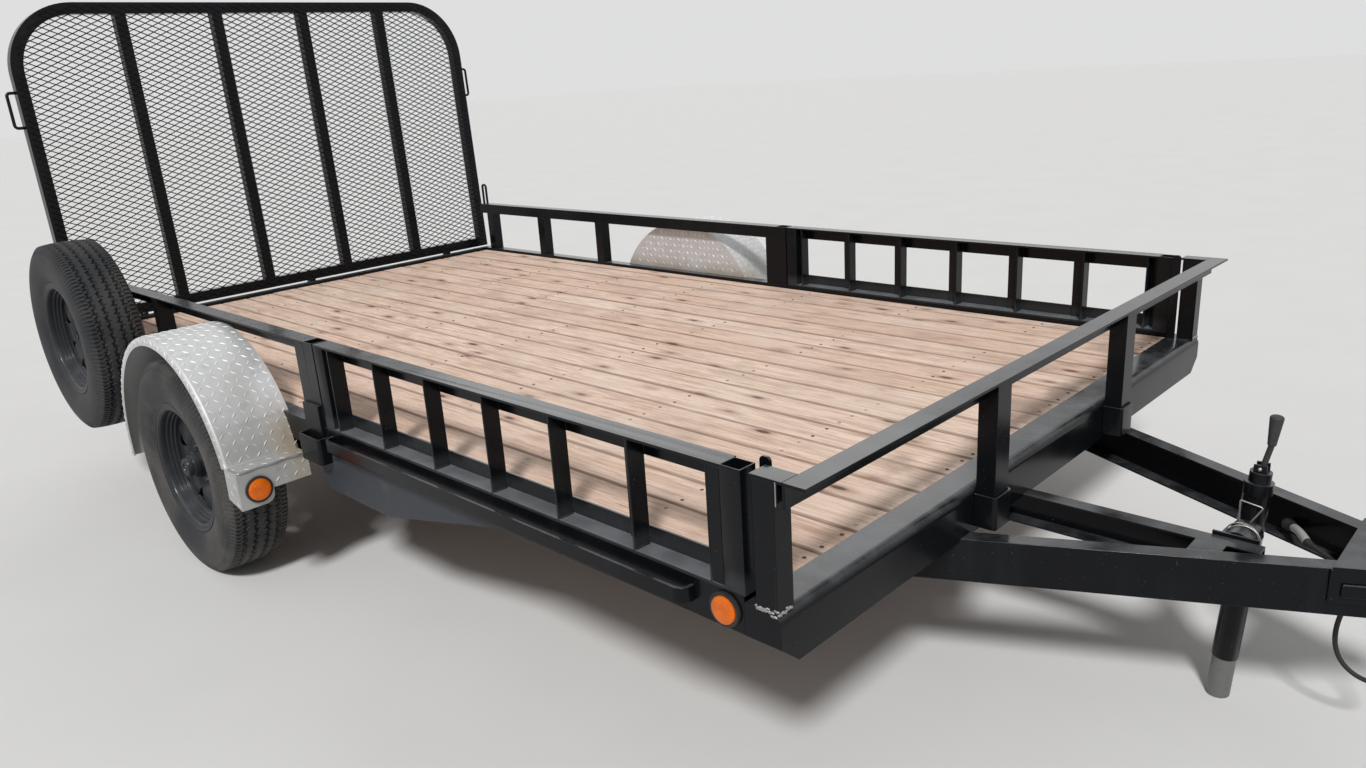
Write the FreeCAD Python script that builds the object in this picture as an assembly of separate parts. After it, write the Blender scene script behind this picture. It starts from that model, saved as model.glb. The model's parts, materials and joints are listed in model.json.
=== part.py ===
import FreeCAD, Part
import math
import os
from FreeCAD import Placement, Rotation, Vector

# A single-axle utility trailer with side ramps, a mesh tail gate and a swivel jack.
# Millimetres. X points forward, Y to the trailer's left and Z up from the ground.
# Every x below is measured from the axle. The finished pieces are then moved along X
# so that the origin lies midway along the trailer.

# Wheels and axle
TYRE_RADIUS = 344.0
TYRE_WIDTH = 196.0
TREAD_WIDTH = 150.0
WHEEL_REACH = 106.0
RIM_FLANGE_RADIUS = 208.0
RIM_BARREL_RADIUS = 186.0
TYRE_SEAT_GAP = 0.3
RIM_WIDTH = 166.0
RIM_METAL = 5.0
RIM_DISC_OFFSET = 18.0
RIM_DISC_METAL = 6.0
RIM_WINDOW_COUNT = 8
RIM_WINDOW_WIDTH = 30.0
RIM_WINDOW_HEIGHT = 38.0
RIM_WINDOW_EDGE = 18.0
HUB_BORE_RADIUS = 41.0
HUB_RADIUS = 39.0
HUB_CAP_REACH = 66.0
LUG_COUNT = 5
LUG_CIRCLE_RADIUS = 57.0
LUG_HOLE_RADIUS = 8.0
AXLE_TUBE_RADIUS = 30.0
SPINDLE_RADIUS = 19.0
HUB_SETBACK = 88.0
HUB_INNER_GAP = 6.0

# Frame
FRAME_REAR = -1514.0
FRAME_FRONT = 2195.0
FRAME_HALF = 1000.0
SIDE_TUBE = 48.0
SIDE_TOP = 548.0
SIDE_BOTTOM = 471.0
DECK_TOP = 536.0
METAL = 5.0
FRONT_MEMBER_WIDTH = 81.0
FRONT_MEMBER_BOTTOM = 430.0
FRONT_EDGE_RADIUS = 22.0
FRONT_CORNER_CUT_Y = 48.0
FRONT_CORNER_CUT_Z = 41.0
REAR_MEMBER_WIDTH = 40.0
PLANK_PITCH = 117.0
PLANK_GAP = 3.0
PLANK_THICK = 38.0
CROSS_MEMBER_X = (-1180.0, -700.0, -220.0, 260.0, 740.0, 1220.0, 1700.0)
CROSS_MEMBER_LEG = 50.0

# Rails, posts and stake pockets
RAIL_TOP = 786.0
RAIL_LEG = 48.0
RAIL_METAL = 6.0
RAIL_REAR = -1499.0
REAR_POST_X = (-1436.0, -1000.0, -555.0)
REAR_POST_WIDTH = 50.0
MID_POST_GAP = 42.0
MID_POST_WIDTH = 52.0
TUBE_WALL = 3.0
STAKE_PLATE_METAL = 10.0
STAKE_PLATE_TOP = 610.0
CORNER_POST_REAR = 2142.0
CORNER_POST_WIDTH = 47.0
CORNER_POST_DEPTH = 45.0
GUIDE_TAB_REAR = 2116.0
GUIDE_TAB_WIDTH = 24.0
GUIDE_TAB_GAP = 5.2
GUIDE_TAB_ABOVE = 10.0
FRONT_POST_Y = 344.0
FRONT_POST_WIDTH = 60.0
FRONT_POST_DEPTH = 44.0
FRONT_POST_FOOT = 452.0
FRONT_RAIL_X = 2206.0
POCKET_BOTTOM = 446.0
POCKET_HEIGHT = 76.0
POCKET_METAL = 5.0
POCKET_BEND = 9.0
POCKET_CLEARANCE = 1.5
SIDE_POCKET_DEPTH = 26.0

# Side ramps that lift out of the front bays
RAMP_REAR_GAP = 6.0
RAMP_FRONT = 2118.0
RAMP_SEAT_GAP = 0.3
RAMP_RUNG_COUNT = 6
RAMP_RUNG_PITCH = 228.6
RAMP_FIRST_RUNG = 700.0
RAMP_RUNG_LEG = 50.0
RAMP_LOWER_LEG = 42.0
RAMP_END_WIDTH = 48.0
RAMP_STUB_WIDTH = 33.0
RUB_RAIL_SETBACK = 28.0
RUB_RAIL_FRONT = 1995.0
RUB_RAIL_BOTTOM = 500.0
RUB_RAIL_HEIGHT = 32.0
RUB_RAIL_METAL = 8.0
RUB_RAIL_REACH = 32.0
RUB_RAIL_BEND = 26.0

# Side gusset plates below the frame, as x and depth below the side member
GUSSET_OUTLINE = ((520.0, 0.0), (573.0, 114.0), (888.0, 116.0), (1400.0, 0.0))
GUSSET_METAL = 6.0

# Fenders
FENDER_RISE = 7.0
FENDER_GAP = 69.0
FENDER_METAL = 4.0
FENDER_TUCK = 14.0
FENDER_WIDTH = 225.0
FENDER_LIP = 26.0
FENDER_REAR_Z = 300.0
FENDER_STEP_Z = 444.0
FENDER_STEP_LEDGE = 57.0
FENDER_STEP_DROP = 110.0
FENDER_STEP_INNER_DROP = 70.0
FENDER_STEP_OUTBOARD = 99.0

# Lamps
LENS_RADIUS = 32.0
LENS_DEPTH = 14.0
GROMMET_RADIUS = 38.0
GROMMET_DEPTH = 7.0
FENDER_LAMP_INSET = 57.0
FENDER_LAMP_Z = 384.0
SIDE_LENS_RADIUS = 28.0
SIDE_LAMP_X = 2071.0
TAIL_LAMP_INSET = 98.0

# Springs
SPRING_TUCK = 24.0
SPRING_WIDTH = 44.0
SPRING_REACH = 330.0
SPRING_LEAF = 8.0
SPRING_EYE_Z = 388.0
SPRING_EYE_RADIUS = 17.0
SPRING_LEAF_REACH = (330.0, 240.0, 160.0, 90.0)
HANGER_LENGTH = 56.0
HANGER_METAL = 6.0
EYE_PIN_RADIUS = 8.0

# Tongue
TONGUE_ROOT_Y = 435.0
TONGUE_TIP_X = 2939.0
TONGUE_TIP_Y = 70.0
TONGUE_TOP = 436.0
TONGUE_DEPTH = 100.0
TONGUE_FLANGE = 40.0
TONGUE_REAR = 1690.0
CENTRE_BEAM_Y = -106.0
CENTRE_BEAM_DEPTH = 76.0
CENTRE_BEAM_FLANGE = 40.0
TIE_PLATE_SETBACK = 64.0
TIE_PLATE_WIDTH = 60.0
COUPLER_REAR = 2816.0
COUPLER_PLATE = 6.0
BALL_X = 3045.0
BALL_Z = 412.0
SOCKET_RADIUS = 25.9
SOCKET_WALL = 6.0
SOCKET_SKIRT = 18.0
COUPLER_NOSE = 46.0
COUPLER_LEVER = 80.0

# Jack
JACK_X = 2637.0
JACK_LEAN = 3.5
JACK_TUBE_RADIUS = 27.0
JACK_LEG_RADIUS = 24.6
JACK_LEG_GAP = 0.4
JACK_TUBE_BOTTOM = 101.0
JACK_TUBE_TOP = 503.0
JACK_COLLAR_TOP = 530.0
JACK_CAP_RADIUS = 21.5
JACK_CAP_TOP = 553.0
JACK_LEG_TOP = 380.0
JACK_PIVOT_Z = 416.0
PIPE_MOUNT_RADIUS = 27.0
PIPE_MOUNT_GAP = 0.4
CRANK_GRIP_X = 9.0
CRANK_GRIP_BOTTOM = 615.0
CRANK_GRIP_TOP = 680.0
CRANK_GRIP_RADIUS = 14.0
CRANK_ROD_RADIUS = 6.0

# Gate
GATE_GAP = 12.0
GATE_TUBE = 45.0
GATE_INSET = 5.0
GATE_BOTTOM = 552.0
GATE_TOP = 1828.0
GATE_CORNER_RADIUS = 270.0
GATE_LEAN = 2.5
GATE_BAR_COUNT = 4
GATE_BAR_PITCH = 400.0
GATE_BAR_METAL = 5.0
GATE_MESH = 4.0
MESH_INSET = 12.0
MESH_STRAND = 10.0
MESH_COLUMNS = 12
MESH_ROWS = 12
HINGE_PIN_X = -1540.0
HINGE_PIN_Z = 535.0
HINGE_PIN_RADIUS = 8.0
HINGE_PIN_GAP = 0.3
HINGE_LUG_RADIUS = 14.0
HINGE_LUG_WIDTH = 10.0
HINGE_LAMP_GAP = 170.0
LATCH_LENGTH = 134.0
LATCH_BOTTOM = 1359.0
LATCH_RADIUS = 6.0
LATCH_REACH = 38.0
LATCH_BEND = 12.0
KEEPER_WIDTH = 30.0
KEEPER_TOP = 886.0

# Spare wheel on the right-hand side, behind the fender
SPARE_X = -950.0
SPARE_Z = 624.0
SPARE_REACH = 108.0

# Wiring on the tongue
SHEATH_RADIUS = 9.0
LEAD_RADIUS = 5.0
PLUG_BODY = 40.0
PLUG_TIP = 23.5

# Worked out from the sizes above
DECK_BOTTOM = DECK_TOP - PLANK_THICK
DECK_REAR = FRAME_REAR + REAR_MEMBER_WIDTH
DECK_FRONT = FRAME_FRONT - FRONT_MEMBER_WIDTH
TONGUE_BOTTOM = TONGUE_TOP - TONGUE_DEPTH
RAIL_UNDERSIDE = RAIL_TOP - RAIL_METAL
LAMP_Z = (SIDE_TOP + SIDE_BOTTOM) / 2
RAIL_HALF = FRAME_HALF + SIDE_TUBE
WHEEL_Y = RAIL_HALF + WHEEL_REACH
FENDER_CENTRE_Z = TYRE_RADIUS + FENDER_RISE
FENDER_RADIUS = TYRE_RADIUS + FENDER_GAP
FENDER_STEP_FRONT = FENDER_RADIUS + FENDER_STEP_LEDGE
MID_POST_REAR = FENDER_STEP_FRONT + MID_POST_GAP
RAMP_REAR = MID_POST_REAR + 2 * MID_POST_WIDTH + RAMP_REAR_GAP
RUB_RAIL_REAR = RAMP_REAR + RUB_RAIL_SETBACK
TIE_PLATE_X = JACK_X - TIE_PLATE_SETBACK
AXLE_STOP_Y = WHEEL_Y - HUB_SETBACK
SPRING_Y = RAIL_HALF - SPRING_TUCK
SPARE_Y = -RAIL_HALF - SPARE_REACH
FENDER_INNER = RAIL_HALF - FENDER_TUCK
FENDER_OUTER = FENDER_INNER + FENDER_WIDTH
FENDER_STEP_SPLIT_Y = FENDER_OUTER - FENDER_STEP_OUTBOARD
FENDER_LAMP_Y = FENDER_OUTER - FENDER_LAMP_INSET
TAIL_LAMP_Y = RAIL_HALF - TAIL_LAMP_INSET
HINGE_REACH = TAIL_LAMP_Y - HINGE_LAMP_GAP
HINGE_Y = (-HINGE_REACH, 0.0, HINGE_REACH)
GATE_HALF = RAIL_HALF - GATE_INSET
GATE_FRONT = FRAME_REAR - GATE_GAP
SIDES = (-1.0, 1.0)

nodes = {}


def box(x0, x1, y0, y1, z0, z1):
    """A block between two opposite corners, given in any order."""
    low = Vector(min(x0, x1), min(y0, y1), min(z0, z1))
    return Part.makeBox(abs(x1 - x0), abs(y1 - y0), abs(z1 - z0), low)


def rod(x, y, z, axis, length, radius):
    """A round bar that starts at a point and runs along an axis."""
    return Part.makeCylinder(radius, length, Vector(x, y, z), axis)


def prism(points, along):
    """A polygon of 3-D points carried along a vector."""
    wire = Part.makePolygon([Vector(*p) for p in points] + [Vector(*points[0])])
    return Part.Face(wire).extrude(along)


def square_tube(x0, x1, y0, y1, z0, z1, wall):
    """An upright rectangular tube, open at both ends."""
    outer = box(x0, x1, y0, y1, z0, z1)
    inner = box(min(x0, x1) + wall, max(x0, x1) - wall, min(y0, y1) + wall, max(y0, y1) - wall, z0, z1)
    return outer.cut(inner)


def revolve(profile, centre):
    """Turns (y, radius) points, with arcs given as three points, about the Y axis."""
    edges = []
    for item in profile:
        pts = [Vector(0, y, r) for y, r in item]
        if len(pts) == 2:
            edges.append(Part.LineSegment(*pts).toShape())
        else:
            edges.append(Part.Arc(*pts).toShape())
    face = Part.Face(Part.Wire(edges))
    solid = face.revolve(Vector(0, 0, 0), Vector(0, 1, 0), 360)
    solid.translate(Vector(*centre))
    return solid


def fuse(shapes):
    """Joins touching pieces into one."""
    joined = shapes[0]
    for shape in shapes[1:]:
        joined = joined.fuse(shape)
    return joined.removeSplitter()


def mirror_y(shape):
    """The same piece on the trailer's other side."""
    return shape.mirror(Vector(0, 0, 0), Vector(0, 1, 0))


def both_sides(shape):
    """A left-hand piece and its mirror image on the right."""
    return [shape, mirror_y(shape)]


def keep(name, shapes):
    """Stores a node as the list of its separate solids."""
    solids = []
    for shape in shapes if isinstance(shapes, list) else [shapes]:
        solids.extend(shape.Solids)
    nodes[name] = solids


def channel_x(x0, x1, web_y, inward, z0, z1, flange, metal):
    """A channel along X: its web's outer face at web_y, its flanges pointing inward."""
    outer = box(x0, x1, web_y, web_y + inward * flange, z0, z1)
    hollow = box(x0, x1, web_y + inward * metal, web_y + inward * flange, z0 + metal, z1 - metal)
    return outer.cut(hollow)


def side_members():
    """Two rectangular tubes on edge, the length of the deck."""
    outer = box(DECK_REAR, DECK_FRONT, FRAME_HALF, RAIL_HALF, SIDE_BOTTOM, SIDE_TOP)
    inner = box(DECK_REAR, DECK_FRONT, FRAME_HALF + METAL, RAIL_HALF - METAL,
                SIDE_BOTTOM + METAL, SIDE_TOP - METAL)
    keep("side_members", both_sides(outer.cut(inner)))


def front_block():
    """The front member's outer form: rounded top edge, both lower corners cut off."""
    w = RAIL_HALF
    block = box(DECK_FRONT, FRAME_FRONT, -w, w, FRONT_MEMBER_BOTTOM, DECK_TOP)
    edges = [e for e in block.Edges
             if e.BoundBox.XMin > FRAME_FRONT - 1 and e.BoundBox.ZMin > DECK_TOP - 1]
    block = block.makeFillet(FRONT_EDGE_RADIUS, edges)
    for s in SIDES:
        corner = [(DECK_FRONT, s * w, FRONT_MEMBER_BOTTOM),
                  (DECK_FRONT, s * (w - FRONT_CORNER_CUT_Y), FRONT_MEMBER_BOTTOM),
                  (DECK_FRONT, s * w, FRONT_MEMBER_BOTTOM + FRONT_CORNER_CUT_Z)]
        block = block.cut(prism(corner, Vector(FRONT_MEMBER_WIDTH, 0, 0)))
    return block


def front_member():
    """A folded plate with closed ends across the front, notched over the tongue."""
    w, t, r = RAIL_HALF, METAL, FRONT_EDGE_RADIUS
    hollow = box(DECK_FRONT, FRAME_FRONT - t, -w + t, w - t, FRONT_MEMBER_BOTTOM, DECK_TOP - t)
    edges = [e for e in hollow.Edges
             if e.BoundBox.XMin > FRAME_FRONT - t - 1 and e.BoundBox.ZMin > DECK_TOP - t - 1]
    hollow = hollow.makeFillet(r - t, edges)
    member = front_block().cut(hollow)
    for s in SIDES:
        inset = FRONT_CORNER_CUT_Y + t
        member = member.cut(box(DECK_FRONT, FRAME_FRONT - t, s * (w - t), s * (w - inset),
                                FRONT_MEMBER_BOTTOM, FRONT_MEMBER_BOTTOM + FRONT_CORNER_CUT_Z))
    for solid in nodes["tongue_beams"] + nodes["tongue_centre_beam"]:
        member = member.cut(solid)
    keep("front_member", member)


def rear_member():
    """A rectangular tube across the back that closes the side members' ends."""
    outer = box(FRAME_REAR, DECK_REAR, -RAIL_HALF, RAIL_HALF, SIDE_BOTTOM, SIDE_TOP)
    hollow = box(FRAME_REAR + METAL, DECK_REAR - METAL, -RAIL_HALF, RAIL_HALF,
                 SIDE_BOTTOM + METAL, SIDE_TOP - METAL)
    keep("rear_member", outer.cut(hollow))


def cross_members():
    """Angles below the deck from side to side, one leg under the planks."""
    half = FRAME_HALF
    bars = []
    for x in CROSS_MEMBER_X:
        upright = box(x, x + METAL, -half, half, TONGUE_TOP, DECK_BOTTOM)
        leg = box(x, x + CROSS_MEMBER_LEG, -half, half, DECK_BOTTOM - METAL, DECK_BOTTOM)
        bars.append(fuse([upright, leg]))
    keep("cross_members", bars)


def deck_planks():
    """Planks laid lengthwise from the middle outward; the last on each side is ripped to fit."""
    planks = []
    count = math.ceil(FRAME_HALF / PLANK_PITCH)
    for s in SIDES:
        for i in range(count):
            inner = i * PLANK_PITCH + PLANK_GAP / 2
            outer = min((i + 1) * PLANK_PITCH - PLANK_GAP / 2, FRAME_HALF)
            planks.append(box(DECK_REAR, DECK_FRONT, s * inner, s * outer, DECK_BOTTOM, DECK_TOP))
    keep("deck_planks", planks)


def rear_side_rails():
    """Angles along the rear bays, one leg on top and one on the inner side."""
    front = MID_POST_REAR + MID_POST_WIDTH
    inner = RAIL_HALF - RAIL_LEG
    top = box(RAIL_REAR, front, inner, RAIL_HALF, RAIL_UNDERSIDE, RAIL_TOP)
    leg = box(RAIL_REAR, front, inner, inner + RAIL_METAL, RAIL_TOP - RAIL_LEG, RAIL_UNDERSIDE)
    keep("rear_side_rails", both_sides(fuse([top, leg])))


def notched_post(x0, x1):
    """A post on the side member, notched to sit inside the rail's angle."""
    low = square_tube(x0, x1, FRAME_HALF, RAIL_HALF, SIDE_TOP, RAIL_TOP - RAIL_LEG, TUBE_WALL)
    high = square_tube(x0, x1, RAIL_HALF - RAIL_LEG + RAIL_METAL, RAIL_HALF,
                       RAIL_TOP - RAIL_LEG, RAIL_UNDERSIDE, TUBE_WALL)
    ledge = box(x0, x1, FRAME_HALF, FRAME_HALF + RAIL_METAL + TUBE_WALL,
                RAIL_TOP - RAIL_LEG - TUBE_WALL, RAIL_TOP - RAIL_LEG)
    return fuse([low, high, ledge])


def side_posts():
    """Rear posts, double middle posts with their stake plates, corner posts, caps and guide tabs."""
    left = []
    for x in REAR_POST_X:
        left.append(notched_post(x, x + REAR_POST_WIDTH))
    rear = MID_POST_REAR
    middle = rear + MID_POST_WIDTH
    front = middle + MID_POST_WIDTH
    left.append(notched_post(rear, middle))
    left.append(square_tube(middle, front, FRAME_HALF, RAIL_HALF, SIDE_TOP, RAIL_TOP, TUBE_WALL))
    left.append(box(rear + 8, front - 8, RAIL_HALF, RAIL_HALF + STAKE_PLATE_METAL,
                    POCKET_BOTTOM + 10, STAKE_PLATE_TOP))
    x0, x1 = CORNER_POST_REAR, CORNER_POST_REAR + CORNER_POST_WIDTH
    post = square_tube(x0, x1, RAIL_HALF - CORNER_POST_DEPTH, RAIL_HALF,
                       DECK_TOP - FRONT_EDGE_RADIUS, RAIL_UNDERSIDE, TUBE_WALL)
    left.append(post.cut(front_block()))
    left.append(box(x0 - RAIL_METAL, FRONT_RAIL_X, RAIL_HALF - CORNER_POST_DEPTH, RAIL_HALF,
                    RAIL_UNDERSIDE, RAIL_TOP))
    x0, x1 = GUIDE_TAB_REAR, GUIDE_TAB_REAR + GUIDE_TAB_WIDTH
    y1 = FRAME_HALF - GUIDE_TAB_GAP
    tab = box(x0, x1, y1 - RAIL_METAL, y1, DECK_TOP, RAIL_TOP + GUIDE_TAB_ABOVE)
    edges = [e for e in tab.Edges if e.BoundBox.ZMin > RAIL_TOP and e.BoundBox.XLength < 1
             and e.BoundBox.YLength > 1]
    left.append(tab.makeFillet(GUIDE_TAB_WIDTH * 0.4, edges))
    keep("side_posts", left + [mirror_y(p) for p in left])


def bent_pocket(post_width, post_depth):
    """A stake pocket folded round a post: open at top and bottom, its back on the plane x = 0."""
    half = post_width / 2 + POCKET_CLEARANCE
    reach = post_depth + POCKET_CLEARANCE
    r = POCKET_BEND

    def loop(h, d, fillet):
        k = fillet * (1 - math.sqrt(0.5))
        p = [Vector(0, -h, 0), Vector(d - fillet, -h, 0), Vector(d, -h + fillet, 0),
             Vector(d, h - fillet, 0), Vector(d - fillet, h, 0), Vector(0, h, 0)]
        low = Part.Arc(p[1], Vector(d - k, -h + k, 0), p[2]).toShape()
        high = Part.Arc(p[3], Vector(d - k, h - k, 0), p[4]).toShape()
        lines = [Part.LineSegment(p[i], p[j]).toShape() for i, j in ((0, 1), (2, 3), (4, 5), (5, 0))]
        wire = Part.Wire([lines[0], low, lines[1], high, lines[2], lines[3]])
        return Part.Face(wire).extrude(Vector(0, 0, POCKET_HEIGHT))

    outer = loop(half + POCKET_METAL, reach + POCKET_METAL, r)
    inner = loop(half, reach, r - POCKET_METAL)
    return outer.cut(inner)


def stake_pockets():
    """Pockets for the middle posts on the sides and for the two front rail posts."""
    pockets = []
    side = bent_pocket(2 * MID_POST_WIDTH, SIDE_POCKET_DEPTH)
    side.rotate(Vector(0, 0, 0), Vector(0, 0, 1), 90)
    side.translate(Vector(MID_POST_REAR + MID_POST_WIDTH, RAIL_HALF, POCKET_BOTTOM))
    pockets.extend(both_sides(side))
    for s in SIDES:
        front = bent_pocket(FRONT_POST_WIDTH, FRONT_POST_DEPTH)
        front.translate(Vector(FRAME_FRONT, s * FRONT_POST_Y, POCKET_BOTTOM))
        pockets.append(front)
    keep("stake_pockets", pockets)


def front_rail():
    """An angle across the front, and the two posts that carry it."""
    top = box(FRONT_RAIL_X, FRONT_RAIL_X + RAIL_LEG, -RAIL_HALF, RAIL_HALF, RAIL_UNDERSIDE, RAIL_TOP)
    leg = box(FRONT_RAIL_X, FRONT_RAIL_X + RAIL_METAL, -RAIL_HALF, RAIL_HALF,
              RAIL_TOP - RAIL_LEG, RAIL_UNDERSIDE)
    keep("front_rail", fuse([top, leg]))
    posts = []
    for s in SIDES:
        y0 = s * FRONT_POST_Y - FRONT_POST_WIDTH / 2
        y1 = y0 + FRONT_POST_WIDTH
        post = square_tube(FRAME_FRONT, FRAME_FRONT + FRONT_POST_DEPTH, y0, y1,
                           FRONT_POST_FOOT, RAIL_UNDERSIDE, TUBE_WALL)
        notch = box(FRAME_FRONT, FRONT_RAIL_X + RAIL_METAL, y0, y1, RAIL_TOP - RAIL_LEG, RAIL_UNDERSIDE)
        posts.append(post.cut(notch))
    keep("front_rail_posts", posts)


def rub_rails():
    """Flat bars along the front bays, standing off the side members with ends bent inward."""
    t, r = RUB_RAIL_METAL, RUB_RAIL_BEND
    y0, y1 = RAIL_HALF, RAIL_HALF + RUB_RAIL_REACH - RUB_RAIL_METAL
    x0, x1 = RUB_RAIL_REAR, RUB_RAIL_FRONT
    z = RUB_RAIL_BOTTOM

    def loop(xa, xb, ya, yb, radius):
        k = radius * (1 - math.sqrt(0.5))
        p = [Vector(xa, ya, z), Vector(xa, yb - radius, z), Vector(xa + radius, yb, z),
             Vector(xb - radius, yb, z), Vector(xb, yb - radius, z), Vector(xb, ya, z)]
        rear = Part.Arc(p[1], Vector(xa + k, yb - k, z), p[2]).toShape()
        front = Part.Arc(p[3], Vector(xb - k, yb - k, z), p[4]).toShape()
        lines = [Part.LineSegment(p[i], p[j]).toShape() for i, j in ((0, 1), (2, 3), (4, 5), (5, 0))]
        wire = Part.Wire([lines[0], rear, lines[1], front, lines[2], lines[3]])
        return Part.Face(wire).extrude(Vector(0, 0, RUB_RAIL_HEIGHT))

    bar = loop(x0, x1, y0, y1 + t, r).cut(loop(x0 + t, x1 - t, y0, y1, r - t))
    keep("rub_rails", both_sides(bar))


def side_gussets():
    """Long plates welded under the side members ahead of the wheels."""
    outer = RAIL_HALF - 2
    points = [(x, outer, SIDE_BOTTOM - drop) for x, drop in GUSSET_OUTLINE]
    plate = prism(points, Vector(0, -GUSSET_METAL, 0))
    keep("side_gussets", both_sides(plate))


def side_ramp(name, side):
    """A ladder of angles: both ramps are alike, so both have their upright legs toward +Y."""
    y0 = FRAME_HALF if side > 0 else -RAIL_HALF
    y1 = y0 + RAIL_LEG
    t = RAIL_METAL
    z0 = SIDE_TOP + RAMP_SEAT_GAP
    upper = fuse([box(RAMP_REAR, RAMP_FRONT - RAMP_END_WIDTH, y0, y1, RAIL_UNDERSIDE, RAIL_TOP),
                  box(RAMP_REAR, RAMP_FRONT - RAMP_END_WIDTH, y1 - t, y1, RAIL_TOP - RAIL_LEG, RAIL_UNDERSIDE)])
    lower = fuse([box(RAMP_REAR, RAMP_FRONT, y0, y1, z0, z0 + t),
                  box(RAMP_REAR, RAMP_FRONT, y1 - t, y1, z0 + t, z0 + RAMP_LOWER_LEG)])
    pieces = [upper, lower]
    for i in range(RAMP_RUNG_COUNT):
        x = RAMP_FIRST_RUNG + i * RAMP_RUNG_PITCH
        face = box(x - t, x, y0, y1 - t, z0 + t, RAIL_UNDERSIDE)
        leg = box(x - RAMP_RUNG_LEG, x - t, y1 - 2 * t, y1 - t, z0 + t, RAIL_UNDERSIDE)
        pieces.append(fuse([face, leg]))
    x1 = RAMP_FRONT - RAMP_END_WIDTH
    x0 = x1 - RAMP_STUB_WIDTH
    stub = [box(x0, x0 + t, y0, y1 - t, z0 + t, RAIL_UNDERSIDE),
            box(x0 + t, x1, y1 - 2 * t, y1 - t, z0 + t, RAIL_UNDERSIDE)]
    pieces.append(fuse(stub))
    pieces.append(square_tube(x1, RAMP_FRONT, y0, y1 - t, z0 + t, RAIL_TOP, TUBE_WALL))
    pieces.append(square_tube(RAMP_REAR, RAMP_REAR + RAMP_END_WIDTH, y0, y1 - t, z0 + t,
                              RAIL_UNDERSIDE, TUBE_WALL))
    keep(name, fuse(pieces))


def fender(name, side):
    """Rolled tread plate over the wheel, with an inner wall, a turned lip and a front step."""
    t, zc, r = FENDER_METAL, FENDER_CENTRE_Z, FENDER_RADIUS
    y0, y1 = FENDER_INNER, FENDER_OUTER
    a_rear = math.pi - math.asin((FENDER_REAR_Z - zc) / r)
    a_step = math.asin((FENDER_STEP_Z - zc) / r)

    def at(radius, angle, y):
        return Vector(radius * math.cos(angle), y, zc + radius * math.sin(angle))

    def sector(r_out, r_in, y_in, y_out):
        """The ring between two radii, from the rear end over the top to the step."""
        mid = (a_rear + a_step) / 2
        outer = Part.Arc(at(r_out, a_rear, y_in), at(r_out, mid, y_in), at(r_out, a_step, y_in)).toShape()
        inner = Part.Arc(at(r_in, a_step, y_in), at(r_in, mid, y_in), at(r_in, a_rear, y_in)).toShape()
        ends = [Part.LineSegment(at(r_out, a_step, y_in), at(r_in, a_step, y_in)).toShape(),
                Part.LineSegment(at(r_in, a_rear, y_in), at(r_out, a_rear, y_in)).toShape()]
        face = Part.Face(Part.Wire([outer, ends[0], inner, ends[1]]))
        return face.extrude(Vector(0, y_out - y_in, 0))

    beside = box(-2 * r, 2 * r, 0, RAIL_HALF, 0, SIDE_TOP)
    crown = sector(r, r - t, y0, y1).cut(beside)
    lip = sector(r, r - FENDER_LIP, y1 - t, y1)
    disc = rod(0, y0, zc, Vector(0, 1, 0), t, r)
    wall = disc.common(box(-r, r, y0, y0 + t, SIDE_TOP, zc + r))
    x_step = r * math.cos(a_step) - FENDER_METAL * 2
    x1 = FENDER_STEP_FRONT
    z1 = FENDER_STEP_Z
    tread = box(x_step, x1, RAIL_HALF, y1, z1 - t, z1)
    outboard = box(x1 - t, x1, FENDER_STEP_SPLIT_Y, y1, z1 - FENDER_STEP_DROP, z1)
    edges = [e for e in outboard.Edges
             if e.BoundBox.YMax < FENDER_STEP_SPLIT_Y + 1 and e.BoundBox.ZMax < z1 - FENDER_STEP_DROP + 1]
    outboard = outboard.makeFillet(FENDER_STEP_DROP / 4, edges)
    inboard = box(x1 - t, x1, RAIL_HALF, FENDER_STEP_SPLIT_Y, z1 - FENDER_STEP_INNER_DROP, z1)
    cheek = prism([(x_step, y1 - t, z1), (x1, y1 - t, z1), (x1, y1 - t, z1 - FENDER_STEP_DROP),
                   (r - FENDER_LIP + t, y1 - t, zc)], Vector(0, t, 0))
    plate = fuse([crown, lip, wall, tread, outboard, inboard, cheek])
    keep(name, plate if side > 0 else mirror_y(plate))


def lamps():
    """Round amber lamps in rubber grommets on the fenders and front sides, red ones behind."""
    spots = ((FENDER_STEP_FRONT, FENDER_LAMP_Y, FENDER_LAMP_Z, Vector(1, 0, 0), LENS_RADIUS),
             (SIDE_LAMP_X, RAIL_HALF, LAMP_Z, Vector(0, 1, 0), SIDE_LENS_RADIUS))
    grommets = []
    lenses = []
    for x, y, z, way, radius in spots:
        lenses += both_sides(lens(x, y, z, way, radius))
        grommets += both_sides(grommet(x, y, z, way, radius))
    keep("amber_lenses", lenses)
    rear = Vector(-1, 0, 0)
    keep("tail_lenses", both_sides(lens(FRAME_REAR, TAIL_LAMP_Y, LAMP_Z, rear, LENS_RADIUS)))
    grommets += both_sides(grommet(FRAME_REAR, TAIL_LAMP_Y, LAMP_Z, rear, LENS_RADIUS))
    keep("lamp_grommets", grommets)


def lens(x, y, z, axis, radius):
    """A round lens with a rounded face."""
    body = rod(x, y, z, axis, LENS_DEPTH, radius)
    tip = Vector(x, y, z) + axis * LENS_DEPTH
    rim = [e for e in body.Edges if len(e.Vertexes) == 1 and (e.CenterOfMass - tip).Length < 1]
    return body.makeFillet(LENS_DEPTH * 0.4, rim)


def grommet(x, y, z, axis, radius):
    """The ring round a lens."""
    outer = rod(x, y, z, axis, GROMMET_DEPTH, radius + GROMMET_RADIUS - LENS_RADIUS)
    return outer.cut(rod(x, y, z, axis, GROMMET_DEPTH, radius))


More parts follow.
